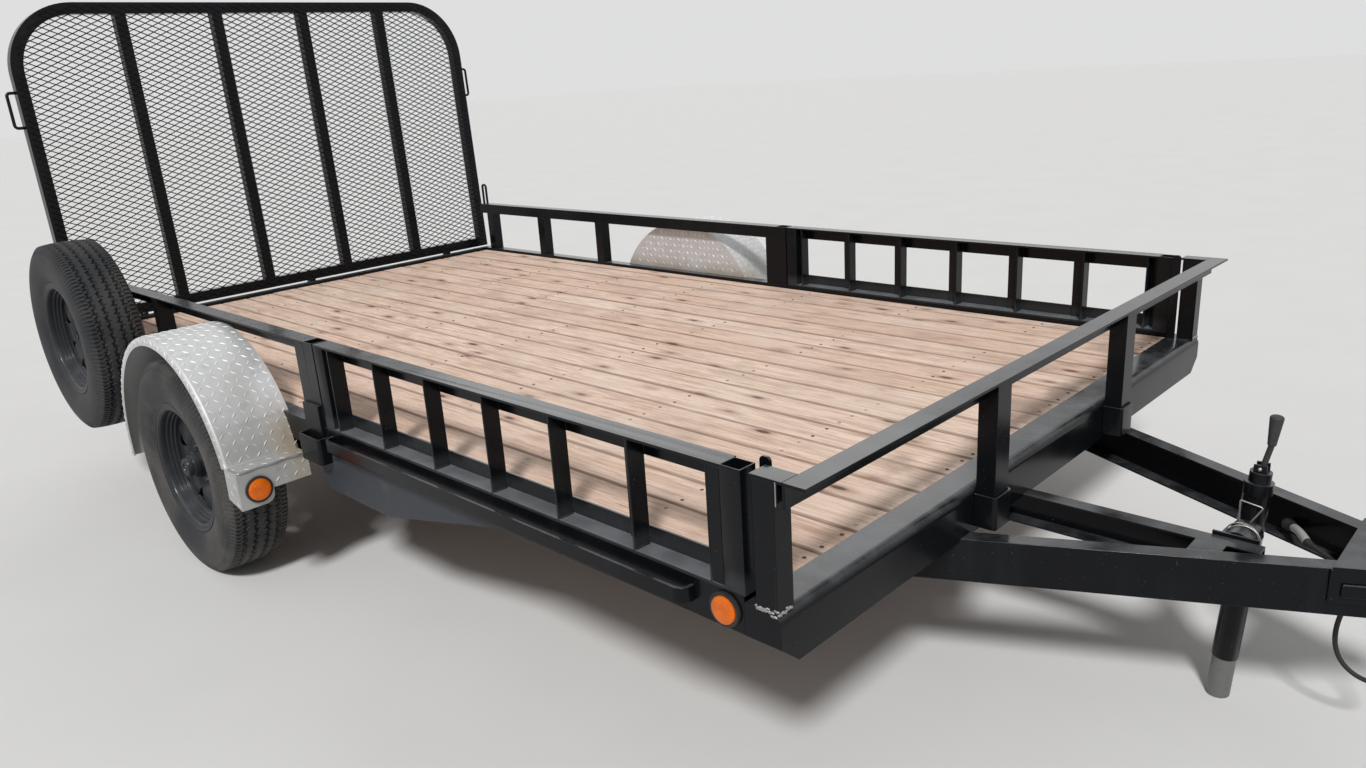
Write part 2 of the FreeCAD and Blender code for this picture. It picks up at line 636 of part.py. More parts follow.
def tyre(centre_y, centre=(0.0, TYRE_RADIUS)):
    """A tyre with rounded shoulders and bulging walls, open inside toward the rim."""
    w, b = TYRE_WIDTH / 2, TREAD_WIDTH / 2
    ro, rf = TYRE_RADIUS, RIM_FLANGE_RADIUS
    bead = RIM_WIDTH / 2 - RIM_METAL - TYRE_SEAT_GAP
    lip = rf + TYRE_SEAT_GAP
    rw = (ro + rf) / 2
    rb = RIM_BARREL_RADIUS + TYRE_SEAT_GAP
    k = 0.7071
    profile = [
        [(-bead, rb), (-bead, lip)],
        [(-bead, lip), (-w, rw), (-w + 6, ro - 34)],
        [(-w + 6, ro - 34), (-b - (w - 6 - b) * k, ro - 8 - 26 * (1 - k)), (-b, ro - 5)],
        [(-b, ro - 5), (0, ro), (b, ro - 5)],
        [(b, ro - 5), (b + (w - 6 - b) * k, ro - 8 - 26 * (1 - k)), (w - 6, ro - 34)],
        [(w - 6, ro - 34), (w, rw), (bead, lip)],
        [(bead, lip), (bead, rb)],
        [(bead, rb), (-bead, rb)],
    ]
    return revolve(profile, (centre[0], centre_y, centre[1]))


def rim(centre_y, side, centre=(0.0, TYRE_RADIUS), nuts=True):
    """A steel wheel: rolled barrel, dished disc with wedge windows, hub bore and lug nuts or their holes."""
    w, t = RIM_WIDTH / 2, RIM_METAL
    rf, rb = RIM_FLANGE_RADIUS, RIM_BARREL_RADIUS
    well = rb - 14
    inner = well - 4
    barrel = revolve([
        [(-w, rf), (-w + t, rf)], [(-w + t, rf), (-w + t, rb)], [(-w + t, rb), (w - t, rb)],
        [(w - t, rb), (w - t, rf)], [(w - t, rf), (w, rf)], [(w, rf), (w, rb - 5)],
        [(w, rb - 5), (w - 42, inner)], [(w - 42, inner), (-w + 42, inner)],
        [(-w + 42, inner), (-w, rb - 5)], [(-w, rb - 5), (-w, rf)]], (0, 0, 0))
    d = RIM_DISC_OFFSET
    disc = revolve([
        [(d, HUB_BORE_RADIUS), (d, 82)], [(d, 82), (d + 14, 104)], [(d + 14, 104), (d + 8, inner)],
        [(d + 8, inner), (d + 2, inner)], [(d + 2, inner), (d + 8, 104)],
        [(d + 8, 104), (d - 6, 82)], [(d - 6, 82), (d - 6, HUB_BORE_RADIUS)],
        [(d - 6, HUB_BORE_RADIUS), (d, HUB_BORE_RADIUS)]], (0, 0, 0))
    for i in range(RIM_WINDOW_COUNT):
        high = inner - RIM_WINDOW_EDGE
        half = RIM_WINDOW_WIDTH / 2
        corners = [(-half, d - 20, high), (half, d - 20, high), (0, d - 20, high - RIM_WINDOW_HEIGHT)]
        wedge = prism(corners, Vector(0, 50, 0))
        wedge.rotate(Vector(0, 0, 0), Vector(0, 1, 0), 360.0 * (i + 0.5) / RIM_WINDOW_COUNT)
        disc = disc.cut(wedge)
    pieces = [fuse([barrel, disc])]
    for i in range(LUG_COUNT):
        a = 2 * math.pi * i / LUG_COUNT
        nut = Part.makePolygon([Vector(10 * math.cos(q * math.pi / 3), 0, 10 * math.sin(q * math.pi / 3))
                                for q in range(7)])
        nut = Part.Face(nut).extrude(Vector(0, 18, 0))
        place = Vector(LUG_CIRCLE_RADIUS * math.cos(a), d, LUG_CIRCLE_RADIUS * math.sin(a))
        nut.translate(place)
        hole = rod(place.x, d - RIM_DISC_METAL, place.z, Vector(0, 1, 0), RIM_DISC_METAL, LUG_HOLE_RADIUS)
        pieces.append(nut if nuts else hole)
    whole = fuse(pieces) if nuts else pieces[0].cut(fuse(pieces[1:]))
    if side < 0:
        whole = mirror_y(whole)
    whole.translate(Vector(centre[0], centre_y, centre[1]))
    return whole


def hub(side):
    """The hub that turns on the spindle, with its flange behind the disc and a grease cap."""
    d = RIM_DISC_OFFSET - 6
    y_in = AXLE_STOP_Y + HUB_INNER_GAP - WHEEL_Y
    back = rod(0, y_in, 0, Vector(0, 1, 0), d - 10 - y_in, HUB_RADIUS)
    flange = rod(0, d - 10, 0, Vector(0, 1, 0), 10, 70)
    nose = rod(0, d, 0, Vector(0, 1, 0), HUB_CAP_REACH - 16, HUB_RADIUS - 4)
    cap = rod(0, d + HUB_CAP_REACH - 16, 0, Vector(0, 1, 0), 16, HUB_RADIUS - 10)
    bore = rod(0, y_in, 0, Vector(0, 1, 0), d + 30 - y_in, SPINDLE_RADIUS + 0.1)
    whole = fuse([back, flange, nose, cap]).cut(bore)
    if side < 0:
        whole = mirror_y(whole)
    whole.translate(Vector(0, side * WHEEL_Y, TYRE_RADIUS))
    return whole


def wheels():
    """Both road wheels, each a tyre, a rim and a hub, and the spare's tyre and rim."""
    for side, label in ((1, "left"), (-1, "right")):
        keep("tyre_" + label, tyre(side * WHEEL_Y))
        keep("rim_" + label, rim(side * WHEEL_Y, side))
        keep("hub_" + label, hub(side))
    keep("spare_tyre", tyre(SPARE_Y, (SPARE_X, SPARE_Z)))
    keep("spare_rim", rim(SPARE_Y, -1, (SPARE_X, SPARE_Z), nuts=False))


def spare_bracket():
    """An arm from a plate on the side member and a post to the spare's disc, with a stud and nut."""
    face = abs(SPARE_Y) + RIM_DISC_OFFSET - 6
    plate = box(SPARE_X - 45, SPARE_X + 45, -RAIL_HALF, -RAIL_HALF - 8, SIDE_BOTTOM + 6, SPARE_Z + 60)
    arm = box(SPARE_X - 25, SPARE_X + 25, -RAIL_HALF - 8, -face + 8, SPARE_Z - 25, SPARE_Z + 25)
    pad = rod(SPARE_X, -face + 8, SPARE_Z, Vector(0, -1, 0), 8, 75)
    stud = rod(SPARE_X, -face, SPARE_Z, Vector(0, -1, 0), 30, 8)
    seat = -face - RIM_DISC_METAL - 0.3
    nut = box(SPARE_X - 48, SPARE_X + 48, seat, seat - 12, SPARE_Z - 16, SPARE_Z + 16)
    keep("spare_bracket", fuse([plate, arm, pad, stud, nut]))


def axle():
    """A straight round axle with a stepped spindle at each end."""
    reach = AXLE_STOP_Y
    beam = rod(0, -reach, TYRE_RADIUS, Vector(0, 1, 0), 2 * reach, AXLE_TUBE_RADIUS)
    tip = WHEEL_Y + RIM_DISC_OFFSET + 20
    spindle = rod(0, -tip, TYRE_RADIUS, Vector(0, 1, 0), 2 * tip, SPINDLE_RADIUS)
    keep("axle_beam", fuse([beam, spindle]))


def leaf_springs():
    """A stack of leaves below each end of the axle, its long leaf rising to an eye at each end."""
    y0 = SPRING_Y - SPRING_WIDTH / 2
    across = Vector(0, SPRING_WIDTH, 0)
    t = SPRING_LEAF
    top = TYRE_RADIUS - AXLE_TUBE_RADIUS
    leaves = []
    rise = SPRING_EYE_Z - SPRING_EYE_RADIUS - top
    for i, reach in enumerate(SPRING_LEAF_REACH):
        drop = i * t
        share = (reach / SPRING_REACH) ** 2
        lift = rise * share
        a = Part.Arc(Vector(-reach, y0, top - drop + lift), Vector(0, y0, top - drop),
                     Vector(reach, y0, top - drop + lift)).toShape()
        b = Part.Arc(Vector(reach, y0, top - drop - t + lift), Vector(0, y0, top - drop - t),
                     Vector(-reach, y0, top - drop - t + lift)).toShape()
        ends = [Part.LineSegment(Vector(s * reach, y0, top - drop + lift),
                                 Vector(s * reach, y0, top - drop - t + lift)).toShape() for s in (1, -1)]
        leaves.append(Part.Face(Part.Wire([a, ends[0], b, ends[1]])).extrude(across))
    for s in SIDES:
        leaves.append(rod(s * SPRING_REACH, y0, SPRING_EYE_Z, Vector(0, 1, 0), SPRING_WIDTH, SPRING_EYE_RADIUS))
    spring = fuse(leaves)
    for s in SIDES:
        x = s * SPRING_REACH
        spring = spring.cut(rod(x, y0, SPRING_EYE_Z, Vector(0, 1, 0), SPRING_WIDTH, EYE_PIN_RADIUS))
    keep("leaf_springs", both_sides(spring))


def spring_hangers():
    """Two cheeks and a pin for each spring eye, welded under the side members."""
    left = []
    for s in SIDES:
        x = s * SPRING_REACH
        low = SPRING_EYE_Z - SPRING_EYE_RADIUS - 4
        x0, x1 = x - HANGER_LENGTH / 2, x + HANGER_LENGTH / 2
        parts = []
        for y in (SPRING_Y - SPRING_WIDTH / 2 - HANGER_METAL - 1, SPRING_Y + SPRING_WIDTH / 2 + 1):
            parts.append(box(x0, x1, y, y + HANGER_METAL, low, SIDE_BOTTOM))
        y = SPRING_Y - SPRING_WIDTH / 2 - HANGER_METAL - 8
        length = SPRING_WIDTH + 2 * HANGER_METAL + 16
        parts.append(rod(x, y, SPRING_EYE_Z, Vector(0, 1, 0), length, EYE_PIN_RADIUS))
        left.append(fuse(parts))
    keep("spring_hangers", left + [mirror_y(p) for p in left])


def axle_clamps():
    """Two U-bolts and a tie plate that clamp each spring under the axle."""
    r = AXLE_TUBE_RADIUS + 5
    low = TYRE_RADIUS - AXLE_TUBE_RADIUS - SPRING_LEAF * len(SPRING_LEAF_REACH)
    plate = box(-r - 12, r + 12, SPRING_Y - 45, SPRING_Y + 45, low - 10, low)
    parts = [plate]
    for y in (SPRING_Y - SPRING_WIDTH / 2 - 8, SPRING_Y + SPRING_WIDTH / 2 + 8):
        bend = rod(0, y - 5, TYRE_RADIUS, Vector(0, 1, 0), 10, r + 5).cut(
            rod(0, y - 5, TYRE_RADIUS, Vector(0, 1, 0), 10, AXLE_TUBE_RADIUS))
        bend = bend.common(box(-r - 5, r + 5, y - 5, y + 5, TYRE_RADIUS, TYRE_RADIUS + r + 5))
        parts.append(bend)
        for s in SIDES:
            parts.append(box(s * AXLE_TUBE_RADIUS, s * (r + 5), y - 5, y + 5, low - 22, TYRE_RADIUS))
    keep("axle_clamps", both_sides(fuse(parts)))


def tongue_line(x):
    """The outer face's y on the left beam at a given x."""
    share = (x - FRAME_FRONT) / (TONGUE_TIP_X - FRAME_FRONT)
    return TONGUE_ROOT_Y + (TONGUE_TIP_Y - TONGUE_ROOT_Y) * share


def tongue_beams():
    """Two channels that run in below the front member and meet at the coupler, webs outward."""
    x0, x1 = TONGUE_REAR, TONGUE_TIP_X
    ya, yb = tongue_line(x0), tongue_line(x1)
    length = math.hypot(x1 - x0, yb - ya)
    nx, ny = (yb - ya) / length, -(x1 - x0) / length
    t, f = METAL, TONGUE_FLANGE

    def slab(near, far, z0, z1):
        pts = [(x0 + nx * near, ya + ny * near, z0), (x1 + nx * near, yb + ny * near, z0),
               (x1 + nx * far, yb + ny * far, z0), (x0 + nx * far, ya + ny * far, z0)]
        return prism(pts, Vector(0, 0, z1 - z0))

    left = fuse([slab(0, t, TONGUE_BOTTOM, TONGUE_TOP), slab(0, f, TONGUE_BOTTOM, TONGUE_BOTTOM + t),
                 slab(0, f, TONGUE_TOP - t, TONGUE_TOP)])
    keep("tongue_beams", both_sides(left))


def tongue_centre_beam():
    """A smaller channel on the right of the middle that carries the jack, and its tie plate."""
    t = METAL
    y0, y1 = CENTRE_BEAM_Y, CENTRE_BEAM_Y - CENTRE_BEAM_FLANGE
    z0, z1 = TONGUE_TOP - CENTRE_BEAM_DEPTH, TONGUE_TOP
    inner_edge = TONGUE_FLANGE / math.cos(math.atan2(TONGUE_ROOT_Y - TONGUE_TIP_Y, TONGUE_TIP_X - FRAME_FRONT))
    reach = inner_edge - y1
    x1 = FRAME_FRONT + (TONGUE_ROOT_Y - reach) / (TONGUE_ROOT_Y - TONGUE_TIP_Y) * (TONGUE_TIP_X - FRAME_FRONT)
    beam = channel_x(TONGUE_REAR, x1, y0, -1, z0, z1, CENTRE_BEAM_FLANGE, t)
    xa, xb = TIE_PLATE_X, TIE_PLATE_X + TIE_PLATE_WIDTH
    ya = -(tongue_line(xa) - inner_edge)
    yb = -(tongue_line(xb) - inner_edge)
    plate = prism([(xa, y1, z1 - t), (xb, y1, z1 - t), (xb, yb, z1 - t), (xa, ya, z1 - t)], Vector(0, 0, t))
    keep("tongue_centre_beam", fuse([beam, plate]))


def coupler():
    """A pressed coupler: cheeks over the beams' tips, a top plate, a nose and a ball socket."""
    t = COUPLER_PLATE
    x0, xt, xb = COUPLER_REAR, TONGUE_TIP_X, BALL_X
    z0, z1 = TONGUE_TOP - TONGUE_DEPTH * 0.72, TONGUE_TOP + t
    r = SOCKET_RADIUS + SOCKET_WALL
    ya = tongue_line(x0)
    yt = tongue_line(xt)
    outline = [(x0, ya + t), (xt, yt + t), (xb - 40, r + 8), (xb, r + 8)]

    def shell(grow, low, high):
        pts = [(x, y - grow, low) for x, y in outline]
        pts += [(x, -(y - grow), low) for x, y in reversed(outline)]
        return prism(pts, Vector(0, 0, high - low))

    skin = shell(0, z0, z1)
    hollow = shell(t, z0, z1 - t)
    cavity_end = BALL_X - r - 8
    hollow = hollow.common(box(x0, cavity_end, -ya - 20, ya + 20, z0, z1))
    skirt_z = BALL_Z - SOCKET_SKIRT
    nose = rod(BALL_X, 0, skirt_z, Vector(0, 0, 1), TONGUE_TOP + t - skirt_z, COUPLER_NOSE)
    dome = Part.makeSphere(r, Vector(BALL_X, 0, BALL_Z + 8))
    low_front = box(cavity_end, BALL_X + COUPLER_NOSE, -2 * r, 2 * r, z0 - 1, skirt_z)
    crown = dome.common(box(BALL_X - r, BALL_X + r, -r, r, BALL_Z, BALL_Z + 2 * r))
    body = fuse([skin.cut(hollow).cut(low_front), nose, crown])
    ball_space = Part.makeSphere(SOCKET_RADIUS, Vector(BALL_X, 0, BALL_Z))
    skirt = rod(BALL_X, 0, skirt_z - 1, Vector(0, 0, 1), SOCKET_SKIRT + 1, SOCKET_RADIUS)
    body = body.cut(fuse([ball_space, skirt]))
    keep("coupler", body)
    latch = fuse([box(xt + 4, xt + 4 + COUPLER_LEVER, -9, 9, z1, z1 + 16),
                  box(xt + 4, xt + 30, -9, 9, z1 + 16, z1 + 44),
                  box(xt - 52, xt + 4, -9, 9, z1 + 34, z1 + 44)])
    keep("coupler_latch", latch)


def lean_jack(shape):
    """Leans an upright jack piece forward about the pipe mount, as it stands in use."""
    shape.rotate(Vector(JACK_X, 0, JACK_PIVOT_Z), Vector(0, 1, 0), JACK_LEAN)
    return shape


def jack():
    """The jack: a tube on a pipe mount, a leg that slides in it, a capped head and a crank."""
    x, r = JACK_X, JACK_TUBE_RADIUS
    up = Vector(0, 0, 1)
    bore = JACK_LEG_RADIUS + JACK_LEG_GAP
    tube = rod(x, 0, JACK_TUBE_BOTTOM, up, JACK_TUBE_TOP - JACK_TUBE_BOTTOM, r)
    collar = rod(x, 0, JACK_TUBE_TOP, up, JACK_COLLAR_TOP - JACK_TUBE_TOP, r + 1.5)
    cap = rod(x, 0, JACK_COLLAR_TOP, up, JACK_CAP_TOP - JACK_COLLAR_TOP, JACK_CAP_RADIUS)
    face = CENTRE_BEAM_Y + PIPE_MOUNT_GAP + 6
    sleeve = rod(x, face, JACK_PIVOT_Z, Vector(0, 1, 0), -face - r + 8, PIPE_MOUNT_RADIUS + 5)
    body = fuse([tube, collar, cap, sleeve])
    body = body.cut(rod(x, 0, JACK_TUBE_BOTTOM, up, JACK_TUBE_TOP - JACK_TUBE_BOTTOM - 10, bore))
    pipe_space = PIPE_MOUNT_RADIUS + PIPE_MOUNT_GAP
    body = body.cut(rod(x, face, JACK_PIVOT_Z, Vector(0, 1, 0), -face - r - 2, pipe_space))
    keep("jack_tube", lean_jack(body))
    tilt = math.radians(JACK_LEAN)
    foot = JACK_PIVOT_Z - (JACK_PIVOT_Z - JACK_LEG_RADIUS * math.sin(tilt)) / math.cos(tilt)
    leg = rod(x, 0, foot, up, JACK_LEG_TOP - foot, JACK_LEG_RADIUS)
    leg = leg.cut(rod(x, 0, foot, up, JACK_LEG_TOP - foot - 8, JACK_LEG_RADIUS - 4))
    keep("jack_leg", lean_jack(leg))
    grip = Vector(x + CRANK_GRIP_X, 0, CRANK_GRIP_BOTTOM)
    start = Vector(x, 0, JACK_CAP_TOP)
    slope = grip - start
    rod_piece = Part.makeCylinder(CRANK_ROD_RADIUS, slope.Length + 4, start, slope)
    rod_piece = rod_piece.fuse(Part.makeSphere(CRANK_ROD_RADIUS, grip))
    height = CRANK_GRIP_TOP - CRANK_GRIP_BOTTOM
    handle = Part.makeCone(CRANK_GRIP_RADIUS * 0.6, CRANK_GRIP_RADIUS, height, grip, up)
    rim_edge = [e for e in handle.Edges if e.BoundBox.ZMin > CRANK_GRIP_TOP - 1]
    handle = handle.makeFillet(CRANK_GRIP_RADIUS * 0.4, rim_edge)
    below_cap = rod(x, 0, JACK_CAP_TOP - 20, up, 20, JACK_CAP_RADIUS)
    keep("jack_crank", lean_jack(fuse([rod_piece, handle]).cut(below_cap)))
    pipe = rod(x, CENTRE_BEAM_Y, JACK_PIVOT_Z, Vector(0, 1, 0), -CENTRE_BEAM_Y - r - 4, PIPE_MOUNT_RADIUS)
    plate = box(x - 45, x + 45, CENTRE_BEAM_Y, CENTRE_BEAM_Y + 6,
                TONGUE_TOP - CENTRE_BEAM_DEPTH, TONGUE_TOP + 8)
    keep("jack_mount", fuse([pipe, plate]))


def lean(shape):
    """Leans an upright gate piece back about the hinge pin."""
    shape.rotate(Vector(HINGE_PIN_X, 0, HINGE_PIN_Z), Vector(0, -1, 0), GATE_LEAN)
    return shape


def gate_outline(inset):
    """The gate's rounded outline in its own plane, inset by a distance."""
    h = GATE_HALF - inset
    z0, z1 = GATE_BOTTOM + inset, GATE_TOP - inset
    r = GATE_CORNER_RADIUS - inset
    k = r * (1 - math.sqrt(0.5))
    p = [(-h, z0), (-h, z1 - r), (-h + r, z1), (h - r, z1), (h, z1 - r), (h, z0)]
    v = [Vector(GATE_FRONT, y, z) for y, z in p]
    left = Part.Arc(v[1], Vector(v[0].x, -h + k, z1 - k), v[2]).toShape()
    right = Part.Arc(v[3], Vector(v[0].x, h - k, z1 - k), v[4]).toShape()
    lines = [Part.LineSegment(v[i], v[j]).toShape() for i, j in ((0, 1), (2, 3), (4, 5), (5, 0))]
    return Part.Face(Part.Wire([lines[0], left, lines[1], right, lines[2], lines[3]]))


def gate_mesh():
    """Expanded metal in front of the gate's frame: rows of diamonds, each row set half a diamond over."""
    width = 2 * (GATE_HALF - MESH_INSET) / MESH_COLUMNS
    height = (GATE_TOP - GATE_BOTTOM - 2 * MESH_INSET) / MESH_ROWS
    across, up = width / 2, height / 2
    shrink = 1 - MESH_STRAND * math.hypot(across, up) / (2 * across * up)
    diamonds = []
    for row in range(2 * MESH_ROWS + 1):
        z = GATE_BOTTOM + MESH_INSET + row * up
        for column in range(MESH_COLUMNS + 1 - row % 2):
            y = -GATE_HALF + MESH_INSET + (column + row % 2 / 2) * width
            dy, dz = across * shrink, up * shrink
            corners = [(y - dy, z), (y, z + dz), (y + dy, z), (y, z - dz)]
            wire = Part.makePolygon([Vector(GATE_FRONT, *corner) for corner in corners + corners[:1]])
            diamonds.append(Part.Face(wire))
    openings = Part.Compound(diamonds).common(gate_outline(MESH_INSET + MESH_STRAND))
    keep("gate_mesh", lean(gate_outline(MESH_INSET).cut(openings).extrude(Vector(GATE_MESH, 0, 0))))


def gate():
    """A tube frame with rounded top corners and four angle bars, hinged at the bottom."""
    back = Vector(-GATE_TUBE, 0, 0)
    frame = gate_outline(0).extrude(back).cut(gate_outline(GATE_TUBE).extrude(back))
    x0 = GATE_FRONT
    bend = GATE_TOP - GATE_CORNER_RADIUS
    foot = GATE_BOTTOM + GATE_TUBE
    x1, far = x0 - GATE_TUBE, GATE_HALF + 1
    keep("gate_top", lean(frame.common(box(x0, x1, -far, far, bend, GATE_TOP))))
    keep("gate_sides", [lean(frame.common(box(x0, x1, 0, s * far, foot, bend))) for s in SIDES])
    base = frame.common(box(x0, x1, -far, far, GATE_BOTTOM, foot))
    lugs = []
    for y in HINGE_Y:
        for s in SIDES:
            y0 = y + s * (HINGE_LUG_WIDTH + 1) - HINGE_LUG_WIDTH / 2
            lug = box(HINGE_PIN_X - HINGE_LUG_RADIUS, HINGE_PIN_X + HINGE_LUG_RADIUS, y0, y0 + HINGE_LUG_WIDTH,
                      HINGE_PIN_Z, GATE_BOTTOM)
            eye = rod(HINGE_PIN_X, y0, HINGE_PIN_Z, Vector(0, 1, 0), HINGE_LUG_WIDTH, HINGE_LUG_RADIUS)
            hole = rod(HINGE_PIN_X, y0, HINGE_PIN_Z, Vector(0, 1, 0), HINGE_LUG_WIDTH,
                       HINGE_PIN_RADIUS + HINGE_PIN_GAP / 4)
            lugs.append(fuse([lug, eye]).cut(hole))
    keep("gate_base", lean(fuse([base] + lugs)))
    t = GATE_BAR_METAL
    bars = []
    half = GATE_TUBE / 2
    for i in range(GATE_BAR_COUNT):
        y = (i - (GATE_BAR_COUNT - 1) / 2) * GATE_BAR_PITCH
        z0, z1 = GATE_BOTTOM + GATE_TUBE, GATE_TOP - GATE_TUBE
        face = box(x0 - t, x0, y - half, y + half, z0, z1)
        web = box(x1, x0 - t, y - half, y - half + t, z0, z1)
        bars.append(lean(fuse([face, web])))
    keep("gate_bars", bars)
    handles = []
    for s in SIDES:
        yo = s * GATE_HALF
        xm = x0 - GATE_TUBE / 2
        z0, z1 = LATCH_BOTTOM, LATCH_BOTTOM + LATCH_LENGTH
        out = yo + s * (LATCH_REACH - LATCH_RADIUS)
        route = ((xm, yo, z0), (xm, out, z0), (xm, out, z1), (xm, yo, z1))
        handles.append(lean(bent_rod(route, LATCH_RADIUS, LATCH_BEND)))
    keep("gate_latches", handles)


def gate_hinges():
    """Lugs on the rear member with the pins that the gate turns on, and the rails' keeper loops."""
    pieces = []
    for y in HINGE_Y:
        w = HINGE_LUG_WIDTH / 2
        lug = box(HINGE_PIN_X, FRAME_REAR, y - w, y + w, HINGE_PIN_Z - HINGE_LUG_RADIUS, HINGE_PIN_Z + 1)
        eye = rod(HINGE_PIN_X, y - w, HINGE_PIN_Z, Vector(0, 1, 0), 2 * w, HINGE_LUG_RADIUS)
        pin = rod(HINGE_PIN_X, y - 24, HINGE_PIN_Z, Vector(0, 1, 0), 48, HINGE_PIN_RADIUS)
        pieces.append(fuse([lug, eye, pin]))
    keep("gate_hinge_lugs", pieces)
    loops = []
    h = KEEPER_WIDTH / 2
    for s in SIDES:
        x = RAIL_REAR + KEEPER_WIDTH
        y = s * (RAIL_HALF - RAIL_LEG / 2)
        route = ((x - h, y, RAIL_TOP), (x - h, y, KEEPER_TOP), (x + h, y, KEEPER_TOP), (x + h, y, RAIL_TOP))
        loops.append(bent_rod(route, LATCH_RADIUS, LATCH_BEND))
    keep("rail_keepers", loops)


def bent_path(points, bend):
    """Straight runs joined by tangent arcs; with no bend given each arc is as large as its runs allow."""
    pts = [Vector(*p) for p in points]
    edges = []
    start = pts[0]
    for i in range(1, len(pts) - 1):
        before, after = pts[i] - pts[i - 1], pts[i + 1] - pts[i]
        u, v = Vector(before).normalize(), Vector(after).normalize()
        half = math.tan(u.getAngle(v) / 2)
        back = bend * half if bend else 0.45 * min(before.Length, after.Length)
        r = back / half
        if not bend:
            print("cord bend radius", round(r, 1))
        a, b = pts[i] - u * back, pts[i] + v * back
        centre = a + (v - u * u.dot(v)).normalize() * r
        out = (pts[i] - centre).normalize()
        edges.append(Part.LineSegment(start, a).toShape())
        edges.append(Part.Arc(a, centre + out * r, b).toShape())
        start = b
    edges.append(Part.LineSegment(start, pts[-1]).toShape())
    return Part.Wire(edges)


def bent_rod(points, radius, bend):
    """A round bar bent along a path."""
    path = bent_path(points, bend)
    ring = Part.Wire(Part.makeCircle(radius, Vector(*points[0]), Vector(*points[1]) - Vector(*points[0])))
    return path.makePipeShell([ring], True, False)


def cord(points, radius):
    """A cord of straight runs and wide arcs."""
    solid = bent_rod(points, radius, None)
    length = bent_path(points, None).Length
    print("cord length", round(length, 1), "volume ratio",
          round(solid.Volume / (math.pi * radius * radius * length), 4))
    return solid


def wiring():
    """The grey sheath beside the left beam, the black lead in a loop below the coupler, and its plug."""
    keep("harness_sheath", cord(SHEATH_ROUTE, SHEATH_RADIUS))
    keep("trailer_lead", cord(LEAD_ROUTE, LEAD_RADIUS))
    end = Vector(*LEAD_ROUTE[-1])
    way = (end - Vector(*LEAD_ROUTE[-2])).normalize()
    body = Part.makeCylinder(LEAD_RADIUS * 2, PLUG_BODY, end, way)
    tip = Part.makeCylinder(LEAD_RADIUS * 1.6, PLUG_TIP, end + way * PLUG_BODY, way)
    keep("lead_plug", fuse([body, tip]))


# Points chosen along the wires, in x, y and z
SHEATH_ROUTE = ((2669.6, 187.6, 365.0), (2690.0, 156.0, 373.0), (2712.0, 110.0, 384.0), (2731.0, 69.0, 387.0))
LEAD_ROUTE = ((2732.0, 66.9, 387.1), (2756.0, 40.0, 388.0), (2792.0, 22.0, 382.0), (2822.0, 15.0, 350.0),
              (2824.0, 10.0, 300.0), (2813.0, 5.0, 234.0), (2822.0, 2.0, 184.0), (2850.0, -1.0, 153.0),
              (2890.0, -3.0, 143.0), (2930.0, -4.0, 155.0), (2955.0, -5.0, 193.0), (2962.0, -6.0, 253.0),
              (2960.0, -6.0, 318.0), (2960.0, -5.0, 372.0))


def build():
    """Makes every node."""
    side_members()
    tongue_beams()
    tongue_centre_beam()
    front_member()
    rear_member()
    cross_members()
    deck_planks()
    rear_side_rails()
    side_posts()
    stake_pockets()
    front_rail()
    rub_rails()
    side_gussets()
    side_ramp("side_ramp_left", 1)
    side_ramp("side_ramp_right", -1)
    fender("fender_left", 1)
    fender("fender_right", -1)
    lamps()
    wheels()
    spare_bracket()
    axle()
    leaf_springs()
    spring_hangers()
    axle_clamps()
    coupler()
    jack()
    gate()
    gate_mesh()
    gate_hinges()
    wiring()


def write():
    """Moves the pieces so that the origin is midway along the trailer, and writes them."""
    front = max(s.BoundBox.XMax for s in nodes["coupler"])
    rear = min(s.BoundBox.XMin for s in nodes["gate_top"])
    middle = (front + rear) / 2
    print("middle", round(middle, 3), "length", round(front - rear, 1))
    os.makedirs("parts", exist_ok=True)
    for name, solids in nodes.items():
        for solid in solids:
            solid.translate(Vector(-middle, 0, 0))
        shape = solids[0] if len(solids) == 1 else Part.makeCompound(solids)
        if not shape.isValid() or shape.Volume <= 0:
            print("check", name, shape.isValid(), shape.Volume)
        shape.exportStep("parts/" + name + ".step")
    print(len(nodes), "nodes", sum(len(s) for s in nodes.values()), "solids")


build()
write()
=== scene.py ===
# %% [markdown]
# # A utility trailer, dressed for its portrait
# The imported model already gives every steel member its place, so this lesson adds what steel plates and
# tubes cannot say by themselves: the grain of the deck, the tread of the tyres, the raised lozenges of the
# fenders and the expanded mesh of the gate. The frame is loaded first, because everything sits on it.

# %% Load the frame
import json
import math

